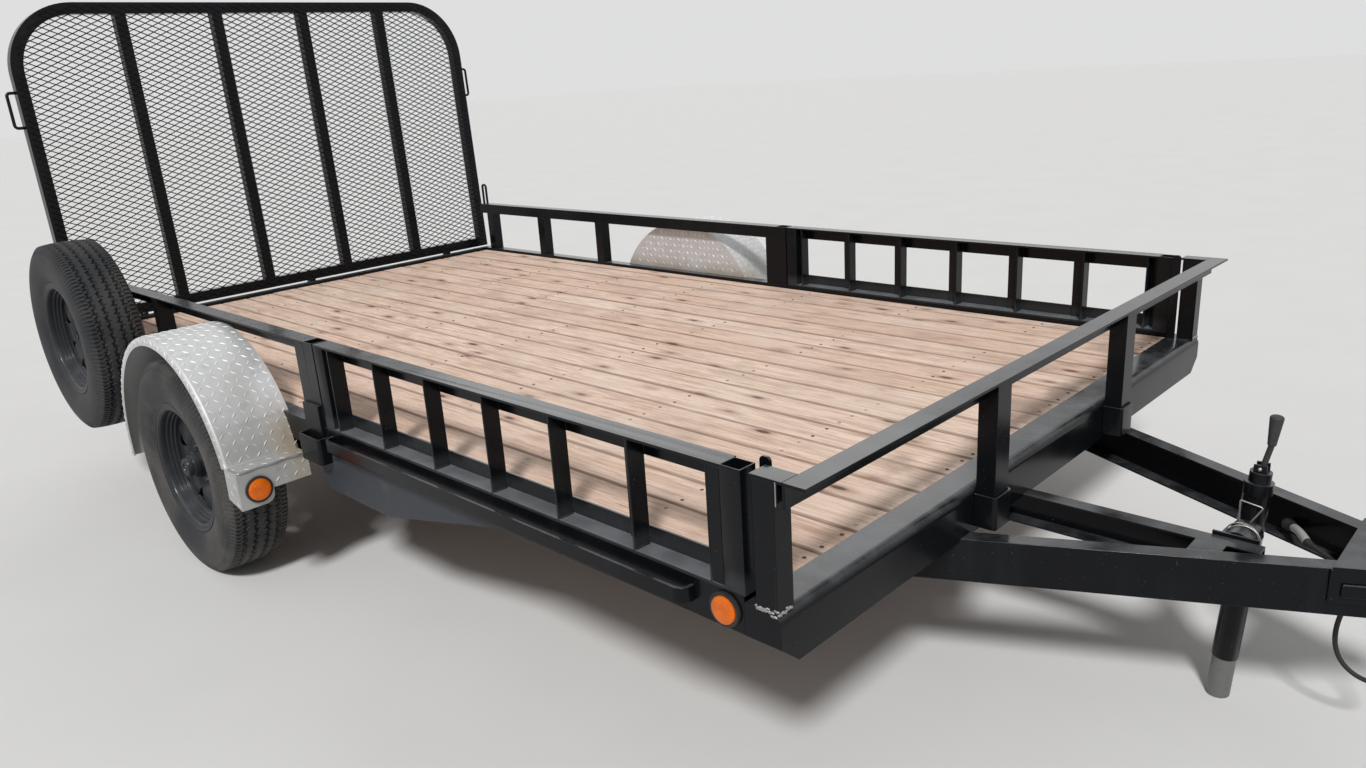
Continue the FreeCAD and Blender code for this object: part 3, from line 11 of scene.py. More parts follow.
import bmesh
import bpy
import numpy as np
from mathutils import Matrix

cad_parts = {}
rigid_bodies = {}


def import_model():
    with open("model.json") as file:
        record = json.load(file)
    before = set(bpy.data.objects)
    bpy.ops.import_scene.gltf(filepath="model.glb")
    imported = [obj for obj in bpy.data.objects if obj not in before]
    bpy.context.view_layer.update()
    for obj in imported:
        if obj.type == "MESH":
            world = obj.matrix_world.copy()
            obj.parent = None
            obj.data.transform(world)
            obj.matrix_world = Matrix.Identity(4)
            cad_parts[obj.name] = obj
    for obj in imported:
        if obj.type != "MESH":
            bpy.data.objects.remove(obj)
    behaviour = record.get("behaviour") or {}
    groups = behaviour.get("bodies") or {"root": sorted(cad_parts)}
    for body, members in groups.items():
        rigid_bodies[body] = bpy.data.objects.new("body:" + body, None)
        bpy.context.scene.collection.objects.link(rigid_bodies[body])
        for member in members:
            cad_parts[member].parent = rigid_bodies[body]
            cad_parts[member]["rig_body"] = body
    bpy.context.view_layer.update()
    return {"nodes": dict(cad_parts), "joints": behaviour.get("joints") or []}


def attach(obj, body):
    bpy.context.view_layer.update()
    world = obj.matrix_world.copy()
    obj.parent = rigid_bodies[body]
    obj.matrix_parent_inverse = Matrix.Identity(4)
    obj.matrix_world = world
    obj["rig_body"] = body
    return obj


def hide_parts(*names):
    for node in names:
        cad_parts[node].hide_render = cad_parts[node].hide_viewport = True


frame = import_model()
joints = {joint["name"]: joint for joint in frame["joints"]}
AXLE_X = joints["wheel_left_spin"]["pos_m"][0]
print("axle at", round(AXLE_X, 4), "nodes", len(frame["nodes"]))

# %% [markdown]
# The camera comes before any piece. Its place was found by matching the trailer's straight rails and round
# wheels to the photograph, so it stands at the right front, a little above the gate's handle. Distances are
# measured from the axle, because that is where the drawing of the trailer starts.

# %% Camera
MM = 0.001
IMAGE_WIDTH = 1366
SENSOR_WIDTH = 36.0
FOCAL_PIXELS = 999.006
CAMERA_PLACE = (3138.265, -2202.813, 1429.100)
CAMERA_TURN = (72.4208388, 3.4507958, 43.5176126)


def at(x, y, z):
    """A point given in millimetres from the axle, on the ground, as metres in the model's frame."""
    return (AXLE_X + x * MM, y * MM, z * MM)


def placed(points):
    """An array of such points in millimetres, as metres in the model's frame."""
    return np.asarray(points, float) * MM + np.array([AXLE_X, 0, 0])


def linked(name, data):
    """A new object for some data, linked to the scene."""
    made = bpy.data.objects.new(name, data)
    bpy.context.scene.collection.objects.link(made)
    return made


camera_data = bpy.data.cameras.new("camera")
camera_data.sensor_width = SENSOR_WIDTH
camera_data.lens = SENSOR_WIDTH * FOCAL_PIXELS / IMAGE_WIDTH
camera = linked("camera", camera_data)
camera.location = at(*CAMERA_PLACE)
camera.rotation_euler = [math.radians(angle) for angle in CAMERA_TURN]
bpy.context.scene.camera = camera
print("lens", round(camera_data.lens, 2))

# %% [markdown]
# A shader is a sum of many small sums, and those read best as plain arithmetic. Signal wraps one socket so
# that + and * add the Math nodes by themselves. Finish is one material: its node method adds any other
# node, and its connect method plugs results into the surface.

# %% Shader arithmetic


class Signal:
    """A socket that can be added, subtracted and multiplied like a number."""

    def __init__(self, finish, socket):
        self.finish = finish
        self.socket = socket

    def math(self, operation, first, second=0.0):
        return self.finish.node("Math", {"operation": operation}, [first, second])

    def __add__(self, other):
        return self.math("ADD", self, other)

    __radd__ = __add__

    def __mul__(self, other):
        return self.math("MULTIPLY", self, other)

    __rmul__ = __mul__

    def __sub__(self, other):
        return self.math("SUBTRACT", self, other)

    def __rsub__(self, other):
        return self.math("SUBTRACT", other, self)

    def __abs__(self):
        return self.math("ABSOLUTE", self)

    def ramp(self, low, high):
        """0 below low, 1 above high, and a smooth step between them."""
        settings = {"interpolation_type": "SMOOTHSTEP"}
        return self.finish.node("MapRange", settings, {"Value": self, "From Min": low, "From Max": high})


class Finish:
    """A node material with one principled surface; a socket's name has _ where Blender has a space."""

    def __init__(self, name, **numbers):
        self.material = bpy.data.materials.new(name)
        self.material.use_nodes = True
        self.tree = self.material.node_tree
        self.surface = self.tree.nodes["Principled BSDF"]
        self.connect(**numbers)

    def node(self, kind, settings=None, sockets=(), output=0):
        """Any node: its type, its settings, then the values or links of its sockets by name or order."""
        made = self.tree.nodes.new("ShaderNode" + kind)
        for key, value in (settings or {}).items():
            setattr(made, key, value)
        pairs = sockets.items() if isinstance(sockets, dict) else enumerate(sockets)
        for key, value in pairs:
            self.plug(value, made.inputs[key])
        return Signal(self, made.outputs[output])

    def plug(self, value, socket):
        """Links a signal to a socket, or sets the socket's number or colour."""
        if isinstance(value, Signal):
            self.tree.links.new(value.socket, socket)
        elif isinstance(value, tuple) and len(value) == 3 and socket.type == "RGBA":
            socket.default_value = (*value, 1.0)
        else:
            socket.default_value = value

    def connect(self, **sockets):
        """Plugs signals or numbers into the principled surface."""
        for name, value in sockets.items():
            self.plug(value, self.surface.inputs[name.replace("_", " ")])
        return self.material

    def mix(self, share, first, second):
        """A colour that goes from first to second as share goes from 0 to 1."""
        return self.node("Mix", {"data_type": "RGBA"}, {0: share, 6: first, 7: second}, output=2)

    def place(self, scale=(1.0, 1.0, 1.0)):
        """The point on the piece in metres, stretched by a scale."""
        point = self.node("TexCoord", output=3)
        return self.node("Mapping", {}, {"Vector": point, "Scale": scale})

    def noise(self, scale, detail=4.0, stretch=(1.0, 1.0, 1.0), roughness=0.55):
        """Cloudy noise from about 0.25 to 0.75, with scale clouds to the metre."""
        sockets = {"Vector": self.place(stretch), "Scale": scale, "Detail": detail, "Roughness": roughness}
        return self.node("TexNoise", {}, sockets)

    def axis(self, vector, index):
        """One coordinate of a vector."""
        return self.node("SeparateXYZ", {}, [vector], output=index)

    def facing_up(self):
        """How far the surface looks at the sky when the trailer stands at rest, from -1 to 1."""
        return self.axis(self.node("TexCoord", output=1), 2)

    def bump(self, height, strength, distance):
        """A normal tilted by a height map."""
        return self.node("Bump", {}, {"Height": height, "Strength": strength, "Distance": distance})


print("shader helpers ready")

# %% [markdown]
# Black enamel on a working trailer is never one black. Dust settles where the steel faces the sky, and
# what faces up is also lightened as a painted sky reflection; the gloss breaks up in soft clouds, grit
# leaves pale flecks, and the coat wears thin in faint streaks. One noise could do for all of it, but then
# dust and gloss would change together; several at their own scales keep them apart. The ramps' lower
# channels get a painted sky reflection of their own, a pale share on what lies low.

# %% Black enamel
ENAMEL_BLACK = (0.0042, 0.0048, 0.0062)
DUST_AND_SHEEN_GREY = (0.23, 0.24, 0.255)
SHELF_SHEEN_HEIGHTS = (0.565, 0.60)


def black_enamel(name, dust=0.22, base=ENAMEL_BLACK, gloss=0.14, film=0.02, shelf_sheen=0.0):
    """Gloss black: dust plus painted sky reflection on what faces up, pale flecks, painted sky reflection
    low down.
    """
    finish = Finish(name, Specular_IOR_Level=0.17, Coat_Roughness=0.14)
    clouds = finish.noise(6.0)
    up = finish.facing_up().ramp(0.3, 0.98)
    veil = finish.noise(14.0, 5.0).ramp(0.35, 0.7)
    streak = finish.noise(9.0, 5.0, (1.0, 1.0, 0.12)).ramp(0.56, 0.74) * film
    # patchy dust on what faces up, partly painted sky reflection; up * 0.04 is a plain painted sky
    # reflection
    dust_and_sheen = (up * veil * dust) + clouds.ramp(0.5, 0.8) * film + streak + up * 0.04
    if shelf_sheen:
        # painted sky reflection: low faces of the ramps' channels are mixed toward the pale grey
        low = 1.0 - finish.axis(finish.place(), 2).ramp(*SHELF_SHEEN_HEIGHTS)
        dust_and_sheen = dust_and_sheen + low * (up * 0.8 + 0.2) * (clouds * 0.8 + 0.6) * shelf_sheen
    fleck = finish.noise(210.0, 2.0).ramp(0.71, 0.77) * 0.4
    color = finish.mix(dust_and_sheen + fleck, base, DUST_AND_SHEEN_GREY)
    rough = clouds * 0.16 + dust_and_sheen * 0.5 + gloss
    normal = finish.bump(finish.noise(70.0, 2.0), 0.10, 0.001)
    return finish.connect(Base_Color=color, Roughness=rough, Normal=normal, Coat_Weight=up * 0.55)


enamel = black_enamel("black_enamel")
# the ramps get a painted sky reflection on their lower channels
ramp_enamel = black_enamel("ramp_enamel", shelf_sheen=0.5)
rim_enamel = black_enamel("rim_enamel", dust=0.2, base=(0.021, 0.0225, 0.026), gloss=0.34, film=0.09)
# a lighter, bluish copy of the enamel: painted sky reflection on the sunlit gusset, with its worn coat in
# the film
worn_sky_lit_gusset_enamel = black_enamel("worn_sky_lit_gusset_enamel", dust=0.3, base=(0.040, 0.045, 0.053), gloss=0.3, film=0.25)
print("enamels", len(bpy.data.materials))

# %% [markdown]
# The deck is pine that was stained brown and then weathered. Each board has its own tone, so the boards
# carry a number, and the grain is noise stretched some thirty times along the board, with finer lines on
# top. Knots are the dark middles of Voronoi cells, and dirt lies in the joints.

# %% Stained pine
BROWN_STAIN, BLEACHED = (0.60, 0.39, 0.285), (0.97, 0.77, 0.63)
OTHER_BOARD, BROAD_STREAK = (0.72, 0.50, 0.385), (0.52, 0.335, 0.24)
FINE_LINE, DARK_GRAIN = (0.34, 0.19, 0.125), (0.27, 0.145, 0.095)
WORN_WOOD, PALE_DUST = (0.82, 0.67, 0.56), (0.80, 0.66, 0.56)
KNOT_HALO, KNOT_EYE = (0.30, 0.15, 0.09), (0.05, 0.026, 0.018)
JOINT_DIRT, BOOT_DIRT = (0.16, 0.095, 0.068), (0.27, 0.19, 0.145)
DIRTY_FROM = (1.05, 1.40)


def streaks(finish, point, stretch, **sockets):
    """Noise drawn out along the boards: the point is scaled less along them than across."""
    drawn = finish.node("Mapping", {}, {"Vector": point, "Scale": stretch})
    return finish.node("TexNoise", {}, {"Vector": drawn, **sockets})


def stained_pine():
    """Long grain, board-to-board tone, knots with their eyes, boot dirt and dust at the front."""
    finish = Finish("stained_pine")
    board = finish.node("Attribute", {"attribute_name": "board"}, output=2)
    joint = finish.node("Attribute", {"attribute_name": "joint"}, output=2)
    tone = finish.node("TexWhiteNoise", {"noise_dimensions": "1D"}, {"W": board})
    shifted = finish.node("CombineXYZ", {}, [board * 7.3, 0.0, board * 3.1])
    point = finish.node("VectorMath", {"operation": "ADD"}, [finish.place(), shifted])
    warp = finish.node("TexNoise", {}, {"Vector": point, "Scale": 2.6, "Detail": 2.0})
    grain = streaks(finish, point, (1.3, 34.0, 34.0), Scale=4.0, Detail=8.0, Roughness=0.68, Distortion=0.6)
    fine = streaks(finish, point, (5.0, 320.0, 320.0), Scale=2.0, Detail=3.0)
    broad = streaks(finish, point, (0.9, 13.0, 13.0), Scale=3.0, Detail=5.0, Roughness=0.6)
    knot_point = finish.node("Mapping", {}, {"Vector": point, "Scale": (3.4, 10.0, 3.4)})
    knots = finish.node("TexVoronoi", {}, {"Vector": knot_point, "Scale": 1.3})
    color = finish.mix(grain.ramp(0.28, 0.60), BROWN_STAIN, BLEACHED)
    color = finish.mix(tone * 0.7, color, OTHER_BOARD)
    color = finish.mix(broad.ramp(0.46, 0.66) * 0.55, color, BROAD_STREAK)
    color = finish.mix(fine.ramp(0.52, 0.66) * 0.7, color, FINE_LINE)
    color = finish.mix(grain.ramp(0.58, 0.65) * 0.75, color, DARK_GRAIN)
    color = finish.mix(warp.ramp(0.42, 0.75) * 0.35, color, WORN_WOOD)
    color = finish.mix((1.0 - knots.ramp(0.12, 0.32)) * 0.45, color, KNOT_HALO)
    color = finish.mix((1.0 - knots.ramp(0.06, 0.15)) * 0.9, color, KNOT_EYE)
    color = finish.mix(joint.ramp(0.3, 1.0) * 0.6, color, JOINT_DIRT)
    ahead = finish.axis(finish.place(), 0).ramp(*DIRTY_FROM)
    dirt = finish.noise(5.0, 6.0).ramp(0.50, 0.64) * (ahead * 0.55 + 0.16)
    color = finish.mix(dirt, color, BOOT_DIRT)
    color = finish.mix(finish.noise(3.2, 6.0).ramp(0.50, 0.72) * 0.3, color, PALE_DUST)
    normal = finish.bump(grain * 0.6 + fine * 0.4, 0.45, 0.0018)
    return finish.connect(Base_Color=color, Roughness=0.66 + fine * 0.22, Normal=normal)


pine = stained_pine()
print("pine nodes", len(pine.node_tree.nodes))

# %% [markdown]
# Tread plate is bright aluminium gone grey-brown outdoors. The lozenges are real geometry, and the finish
# only needs soft clouds, water stains that run down, painted shade that greys it toward the foot and a
# rusty stain where water drips off the frame. The same finish in a lighter tone does for the lozenges: it
# stands for their rubbed tops and also paints a highlight on them.

# %% Tread plate
GREY_STAIN, BROWN_DIRT = (0.33, 0.31, 0.27), (0.27, 0.25, 0.215)
FOOT_SHADE, RUST_STAIN = (0.34, 0.34, 0.325), (0.33, 0.245, 0.125)


def weathered_aluminium(name, base, shine):
    """Dull aluminium with dirt in clouds, rusty water stains low down beside the frame and painted shade
    low down.
    """
    finish = Finish(name, Metallic=0.5)
    place = finish.place()
    clouds = finish.noise(9.0, 6.0)
    beside = 1.0 - abs(finish.axis(place, 1)).ramp(1.06, 1.15)
    low = 1.0 - finish.axis(place, 2).ramp(0.52, 0.63)
    rust = low * beside * (finish.noise(7.0, 5.0).ramp(0.22, 0.60) * 0.65)
    # painted shade: the plate is greyed toward its foot, away from the frame
    foot = (1.0 - finish.axis(place, 2).ramp(0.44, 0.76)) * (clouds * 0.5 + 0.35) * (1.0 - beside)
    color = finish.mix(finish.noise(5.0, 4.0, (1.0, 1.0, 0.35)).ramp(0.48, 0.75) * 0.3, base, GREY_STAIN)
    color = finish.mix(finish.noise(40.0, 5.0).ramp(0.5, 0.8) * 0.3, color, BROWN_DIRT)
    color = finish.mix(foot, color, FOOT_SHADE)
    color = finish.mix(rust, color, RUST_STAIN)
    rough = shine + clouds * 0.3 + rust * 0.25
    normal = finish.bump(finish.noise(220.0, 3.0), 0.15, 0.0008)
    return finish.connect(Base_Color=color, Roughness=rough, Normal=normal)


fender_metal = weathered_aluminium("tread_plate", (0.63, 0.635, 0.64), 0.45)
# a lighter copy of the tread finish: rubbed tops, and partly a painted highlight on the raised lozenges
lit_lozenge_metal = weathered_aluminium("tread_lozenge", (0.82, 0.82, 0.82), 0.46)
print("tread plate nodes", len(fender_metal.node_tree.nodes))

# %% [markdown]
# The rest are small finishes with two or three noises each: rubber holds grey-brown dust, plated and
# welded steel is cloudy, and a lens has faint ribs under a clear skin. A flat colour would do at this
# size, but it would look like plastic from close by.

# %% Rubber, small metal and lenses
RUBBER_DUST, LENS_DUST = (0.15, 0.135, 0.115), (0.45, 0.36, 0.27)


def dusty_rubber(name, base, dust):
    """Dark rubber with grey-brown dust in clouds and fine grains."""
    finish = Finish(name, Specular_IOR_Level=0.4)
    clouds = finish.noise(7.0, 6.0)
    fine = finish.noise(140.0, 4.0)
    share = clouds.ramp(0.35, 0.75) * dust + fine.ramp(0.5, 0.8) * dust * 0.5
    color = finish.mix(share, base, RUBBER_DUST)
    normal = finish.bump(fine, 0.2, 0.0006)
    return finish.connect(Base_Color=color, Roughness=0.55 + clouds * 0.25, Normal=normal)


def plain_metal(name, base, roughness, metallic):
    """Worn metal with cloudy gloss and small dull spots."""
    finish = Finish(name, Metallic=metallic)
    spots = finish.noise(90.0, 4.0).ramp(0.58, 0.72)
    color = finish.mix(spots * 0.5, base, tuple(0.45 * c for c in base))
    return finish.connect(Base_Color=color, Roughness=roughness + finish.noise(30.0, 5.0) * 0.3)


def lens_plastic(name, base, deep):
    """Moulded lens plastic: fine ribs below a glossy skin, a little darker in clouds."""
    finish = Finish(name, Coat_Weight=0.25, Coat_Roughness=0.08, Specular_IOR_Level=0.25)
    wave = {"Vector": finish.place(), "Scale": 90.0, "Distortion": 0.0}
    ribs = finish.node("TexWave", {"bands_direction": "DIAGONAL"}, wave)
    cells = finish.noise(45.0, 3.0).ramp(0.35, 0.7)
    color = finish.mix(cells * 0.35 + ribs * 0.12, base, deep)
    color = finish.mix(finish.noise(300.0, 2.0).ramp(0.62, 0.72) * 0.12, color, LENS_DUST)
    normal = finish.bump(ribs, 0.12, 0.0006)
    return finish.connect(Base_Color=color, Roughness=0.2 + cells * 0.1, Normal=normal)


tyre_rubber = dusty_rubber("tyre_rubber", (0.014, 0.0155, 0.0185), 0.45)
spare_rubber = dusty_rubber("spare_rubber", (0.012, 0.014, 0.018), 0.22)
trim_rubber = dusty_rubber("trim_rubber", (0.014, 0.014, 0.015), 0.15)
grip_rubber = dusty_rubber("grip_rubber", (0.035, 0.036, 0.038), 0.2)
lead_rubber = dusty_rubber("lead_rubber", (0.012, 0.012, 0.013), 0.1)
sheath_plastic = dusty_rubber("sheath_plastic", (0.42, 0.42, 0.40), 0.3)
weld_metal = plain_metal("weld_metal", (0.33, 0.33, 0.33), 0.30, 0.8)
leg_steel = plain_metal("leg_steel", (0.19, 0.19, 0.185), 0.34, 0.6)
zinc = plain_metal("zinc_plate", (0.42, 0.41, 0.385), 0.32, 0.85)
rusty_screw = plain_metal("rusty_screw", (0.12, 0.065, 0.042), 0.5, 0.4)
amber = lens_plastic("amber_lens", (0.76, 0.150, 0.0), (0.44, 0.060, 0.0))
red = lens_plastic("red_lens", (0.42, 0.010, 0.008), (0.24, 0.004, 0.004))
print("finishes", len(bpy.data.materials))

# %% [markdown]
# Meshes come from arrays: a grid of points has quads between its neighbours, and a grid that closes on
# itself has one more row of them. A form that repeats keeps one list of quads, and each copy adds the
# number of points before it. Every new piece below is made by these few helpers.

# %% Mesh helpers


def quads_of(rows, columns, wrap_rows=False, wrap_columns=False, start=0):
    """Each quad joins a point to its next in both directions; wrapping joins the last to the first."""
    r = np.arange(rows if wrap_rows else rows - 1)[:, None]
    c = np.arange(columns if wrap_columns else columns - 1)[None, :]
    r2, c2 = (r + 1) % rows, (c + 1) % columns
    corners = [r * columns + c, r2 * columns + c, r2 * columns + c2, r * columns + c2]
    return start + np.stack(np.broadcast_arrays(*corners), -1).reshape(-1, 4)


def repeated(faces, count, points_each):
    """The same quads for each of several equal clouds of points: a copy adds the points before it."""
    return (np.arange(count)[:, None, None] * points_each + faces).reshape(-1, 4)


def joined(grids, wrap_rows=False, wrap_columns=False):
    """Grids of any size as one cloud of points, and the quads of each."""
    starts = np.cumsum([0] + [grid.shape[0] * grid.shape[1] for grid in grids])
    faces = [quads_of(*grid.shape[:2], wrap_rows, wrap_columns, start)
             for grid, start in zip(grids, starts)]
    return np.concatenate([grid.reshape(-1, 3) for grid in grids]), np.concatenate(faces)


def edit_mesh(mesh, *steps):
    """Opens a mesh for some steps on its points, edges and faces, and writes it back."""
    work = bmesh.new()
    work.from_mesh(mesh)
    for step in steps:
        step(work)
    work.to_mesh(mesh)
    work.free()


def merge_doubles(work):
    """Points closer than two thousandths of a millimetre become one."""
    bmesh.ops.remove_doubles(work, verts=work.verts, dist=2e-6)


def face_outward(work):
    """Turns every separate closed form outward."""
    bmesh.ops.recalc_face_normals(work, faces=work.faces)


def close_holes(work):
    """Fills every open loop of edges with one face."""
    bmesh.ops.holes_fill(work, edges=work.edges)


def new_piece(name, points, faces, material, body, smooth=True, mend=True):
    """A mesh object that rides on a body: points in metres, faces as an array of quads."""
    mesh = bpy.data.meshes.new(name)
    points = np.asarray(points, np.float32).reshape(-1, 3)
    faces = np.asarray(faces, np.int32)
    mesh.vertices.add(len(points))
    mesh.vertices.foreach_set("co", points.ravel())
    mesh.loops.add(faces.size)
    mesh.loops.foreach_set("vertex_index", faces.ravel())
    mesh.polygons.add(len(faces))
    mesh.polygons.foreach_set("loop_start", np.arange(0, faces.size, faces.shape[1], dtype=np.int32))
    mesh.update(calc_edges=True)
    mesh.validate()
    mesh.polygons.foreach_set("use_smooth", np.full(len(mesh.polygons), smooth))
    if mend:
        edit_mesh(mesh, merge_doubles, face_outward)
    mesh.materials.append(material)
    piece = linked(name, mesh)
    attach(piece, body)
    return piece


def modifier(piece, kind, **settings):
    """Adds a modifier with its settings."""
    made = piece.modifiers.new(kind.lower(), kind)
    for key, value in settings.items():
        setattr(made, key, value)


def sharpen(piece, degrees):
    """Marks edges sharper than an angle, so that smooth shading keeps its corners."""
    piece.data.set_sharp_from_angle(angle=math.radians(degrees))


def soften(piece, width, degrees, segments=2, **settings):
    """Bevels the edges sharper than an angle, by a width in millimetres."""
    modifier(piece, "BEVEL", width=width * MM, segments=segments, limit_method="ANGLE",
             angle_limit=math.radians(degrees), **settings)


print("mesh helpers ready")

# %% [markdown]
# Three ways of shaping do for most fittings. A turned form is a profile swung about a line, as on a lathe.
# A wire is a ring carried along points. A bracket is a box with soft edges. Turned forms and boxes take
# several places at once, so that a pair of lamps is one piece.

# %% Turned forms, wires and boxes
UP = np.array((0.0, 0.0, 1.0))
BLOCK_FACES = np.array([(0, 1, 3, 2), (4, 6, 7, 5), (0, 4, 5, 1), (2, 3, 7, 6), (0, 2, 6, 4), (1, 5, 7, 3)])
STEEL_CORNER = 32.0


def full_turn(steps):
    """Equal angles once round, as a column."""
    return np.linspace(0, 2 * np.pi, steps, endpoint=False)[:, None]


def ring_round(way, side, sides):
    """Points of a unit circle square to a way: cos of the turn along side, sin along its cross with way."""
    turn = full_turn(sides)[..., None]
    return np.cos(turn) * side + np.sin(turn) * np.cross(side, way)


def turned(profile, centre, way, steps):
    """Turns a profile of (distance along way, radius) in millimetres about the line through centre."""
    section = np.array(profile, float)
    turn = full_turn(steps)
    out = np.array((0.0, 1.0, 0.0) if way[0] else (1.0, 0.0, 0.0))
    ring = np.cos(turn)[..., None] * out + np.sin(turn)[..., None] * UP
    return np.array(centre) + section[:, :1] * np.array(way) + section[:, 1:] * ring


def lathe(name, profile, spots, material, body, steps=48, crease=35.0):
    """A closed profile turned at one or more places, each with its own centre and way, as one piece."""
    forms = np.stack([placed(turned(profile, centre, way, steps)) for centre, way in spots])
    faces = repeated(quads_of(steps, len(profile), True, True), len(spots), steps * len(profile))
    piece = new_piece(name, forms, faces, material, body)
    sharpen(piece, crease)
    return piece


def tube(name, route, radius, material, body, closed=False, sides=10):
    """A round wire that follows points given in millimetres: rings stand square to the way it runs."""
    route = np.array(route, float)
    before, after = np.roll(route, 1, 0), np.roll(route, -1, 0)
    if not closed:
        before[0], after[-1] = route[0], route[-1]
    way = after - before
    way /= np.linalg.norm(way, axis=1, keepdims=True)
    side = np.cross(way, (0.0, 1.0, 0.0) if np.abs(way[:, 1]).max() < 0.9 else (1.0, 0.0, 0.0))
    side /= np.linalg.norm(side, axis=1, keepdims=True)
    reach = np.full(len(route), float(radius))
    if not closed:
        route, way, side = (np.concatenate([row[:1], row, row[-1:]]) for row in (route, way, side))
        reach = np.concatenate([[0.0], reach, [0.0]])
    points = route + ring_round(way, side, sides) * reach[None, :, None]
    faces = quads_of(sides, len(route), True, closed)
    return new_piece(name, placed(points), faces, material, body)


def blocks(name, boxes, material, body, bevel=1.2, segments=2, slope=0.0):
    """Boxes from (x0, x1, y0, y1, z0, z1) in millimetres, softened; slope may shift y as x grows."""
    ends = np.array(boxes, float)
    corners = np.array([[(x, y, z) for x in box[:2] for y in box[2:4] for z in box[4:]] for box in ends])
    corners[..., 1] += np.sign(ends[:, 2:3]) * slope * (corners[..., 0] - ends[:, :1])
    faces = repeated(BLOCK_FACES, len(boxes), 8)
    piece = new_piece(name, placed(corners), faces, material, body)
    sharpen(piece, STEEL_CORNER)
    soften(piece, bevel, STEEL_CORNER, segments, harden_normals=True)


print("shaping helpers ready")

# %% [markdown]
# The wires on the tongue come early, because their lengths are checked against the model. Each is one
# smooth spline through a few listed points. Where it leaves a hole or enters a plug it has a short tapered
# sleeve, a turned form that follows the spline's first stretch.

# %% Wires
SHEATH_ROUTE = ((2669.6, 187.6, 365.0), (2690.0, 156.0, 373.0), (2712.0, 110.0, 384.0),
                (2731.0, 69.0, 387.0))
LEAD_ROUTE = ((2732.0, 66.9, 387.1), (2756.0, 40.0, 388.0), (2792.0, 22.0, 382.0), (2822.0, 15.0, 350.0),
              (2824.0, 10.0, 300.0), (2813.0, 5.0, 234.0), (2822.0, 2.0, 184.0), (2850.0, -1.0, 153.0),
              (2890.0, -3.0, 143.0), (2930.0, -4.0, 155.0), (2955.0, -5.0, 193.0), (2962.0, -6.0, 253.0),
              (2960.0, -6.0, 318.0), (2960.0, -5.0, 372.0))
SLEEVE_SIDES = 24
SLEEVE_ALONG = np.array([0.0, 0.0, 0.06, 0.3, 0.36, 0.42, 0.6, 0.66, 0.72, 0.94, 1.0, 1.0])
SLEEVE_SWELL = np.array([0.0, 1.0, 1.0, 1.0, 0.88, 1.0, 1.0, 0.88, 1.0, 1.0, 0.9, 0.0])


def wire(name, route, radius, material):
    """A round cord on a smooth spline whose control points are the route."""
    curve = bpy.data.curves.new(name, "CURVE")
    curve.dimensions = "3D"
    spline = curve.splines.new("NURBS")
    spline.points.add(len(route) - 1)
    for point, place in zip(spline.points, route):
        point.co = (*at(*place), 1.0)
    spline.order_u = 3
    spline.use_endpoint_u = True
    curve.bevel_depth = radius * MM
    curve.bevel_resolution = 4
    curve.resolution_u = 12
    curve.use_fill_caps = True
    curve.materials.append(material)
    piece = linked(name, curve)
    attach(piece, "chassis")
    return piece


def sleeve(name, route, span, radii, material):
    """A tapered sleeve on a route's first stretch: its radius goes from the first value to the last."""
    start, toward = np.array(route[0]), np.array(route[1])
    along = (toward - start) / np.linalg.norm(toward - start)
    side = np.cross(along, UP)
    side /= np.linalg.norm(side)
    radius = ((radii[0] + (radii[1] - radii[0]) * SLEEVE_ALONG) * SLEEVE_SWELL)[None, :, None]
    ring = ring_round(along, side, SLEEVE_SIDES)
    points = start + (SLEEVE_ALONG * span)[None, :, None] * along + radius * ring
    faces = quads_of(SLEEVE_SIDES, len(SLEEVE_ALONG), True)
    piece = new_piece(name, placed(points), faces, material, "chassis")
    sharpen(piece, 40.0)


sheath = wire("harness_sheath_wire", SHEATH_ROUTE, 9.0, sheath_plastic)
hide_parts("harness_sheath")
lead = wire("trailer_lead_wire", LEAD_ROUTE, 5.0, lead_rubber)
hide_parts("trailer_lead")
sleeve("sheath_relief", SHEATH_ROUTE, 34.0, (15.0, 10.2), lead_rubber)
sleeve("lead_boot", LEAD_ROUTE, 20.0, (9.6, 6.0), lead_rubber)
sleeve("plug_relief", LEAD_ROUTE[::-1], 26.0, (8.6, 5.8), lead_rubber)
print("wires", len(SHEATH_ROUTE), len(LEAD_ROUTE))

# %% [markdown]
# Nearly all of the steel keeps its shape from the model. The model's triangles are joined into flat faces,
# except where a face has a hole, and then the edges are softened by a millimetre or so, because a
# knife-sharp corner never catches the light as welded steel does. The fenders' outer edges are rolled.

# %% Dressing helpers
FLAT_ANGLE = math.radians(1.0)
FENDER_RADIUS = 413.0
FENDER_CENTRE = 351.0
FENDER_INNER = 1034.0
FENDER_OUTER = 1259.0
EDGE_ROLL = 9.5
FACE_INSET = 1.8


def mark_holed_faces(work):
    """Flat patches with a hole, where points less edges plus faces isn't one, keep their triangles."""
    flat = {edge for edge in work.edges
            if len(edge.link_faces) == 2 and edge.calc_face_angle() < FLAT_ANGLE}
    waiting = set(work.faces)
    while waiting:
        patch, front = set(), [waiting.pop()]
        while front:
            face = front.pop()
            patch.add(face)
            for edge in face.edges:
                if edge in flat:
                    near = [other for other in edge.link_faces if other in waiting]
                    waiting.difference_update(near)
                    front.extend(near)
        points = {point for face in patch for point in face.verts}
        edges = {edge for face in patch for edge in face.edges}
        if len(points) - len(edges) + len(patch) != 1:
            for edge in edges & flat:
                edge.seam = True


def join_flat_faces(work):
    """Joins flat neighbours into one face, up to the seams that the last function marks."""
    bmesh.ops.dissolve_limit(work, angle_limit=FLAT_ANGLE, verts=work.verts, edges=work.edges,
                             delimit={"SEAM"})


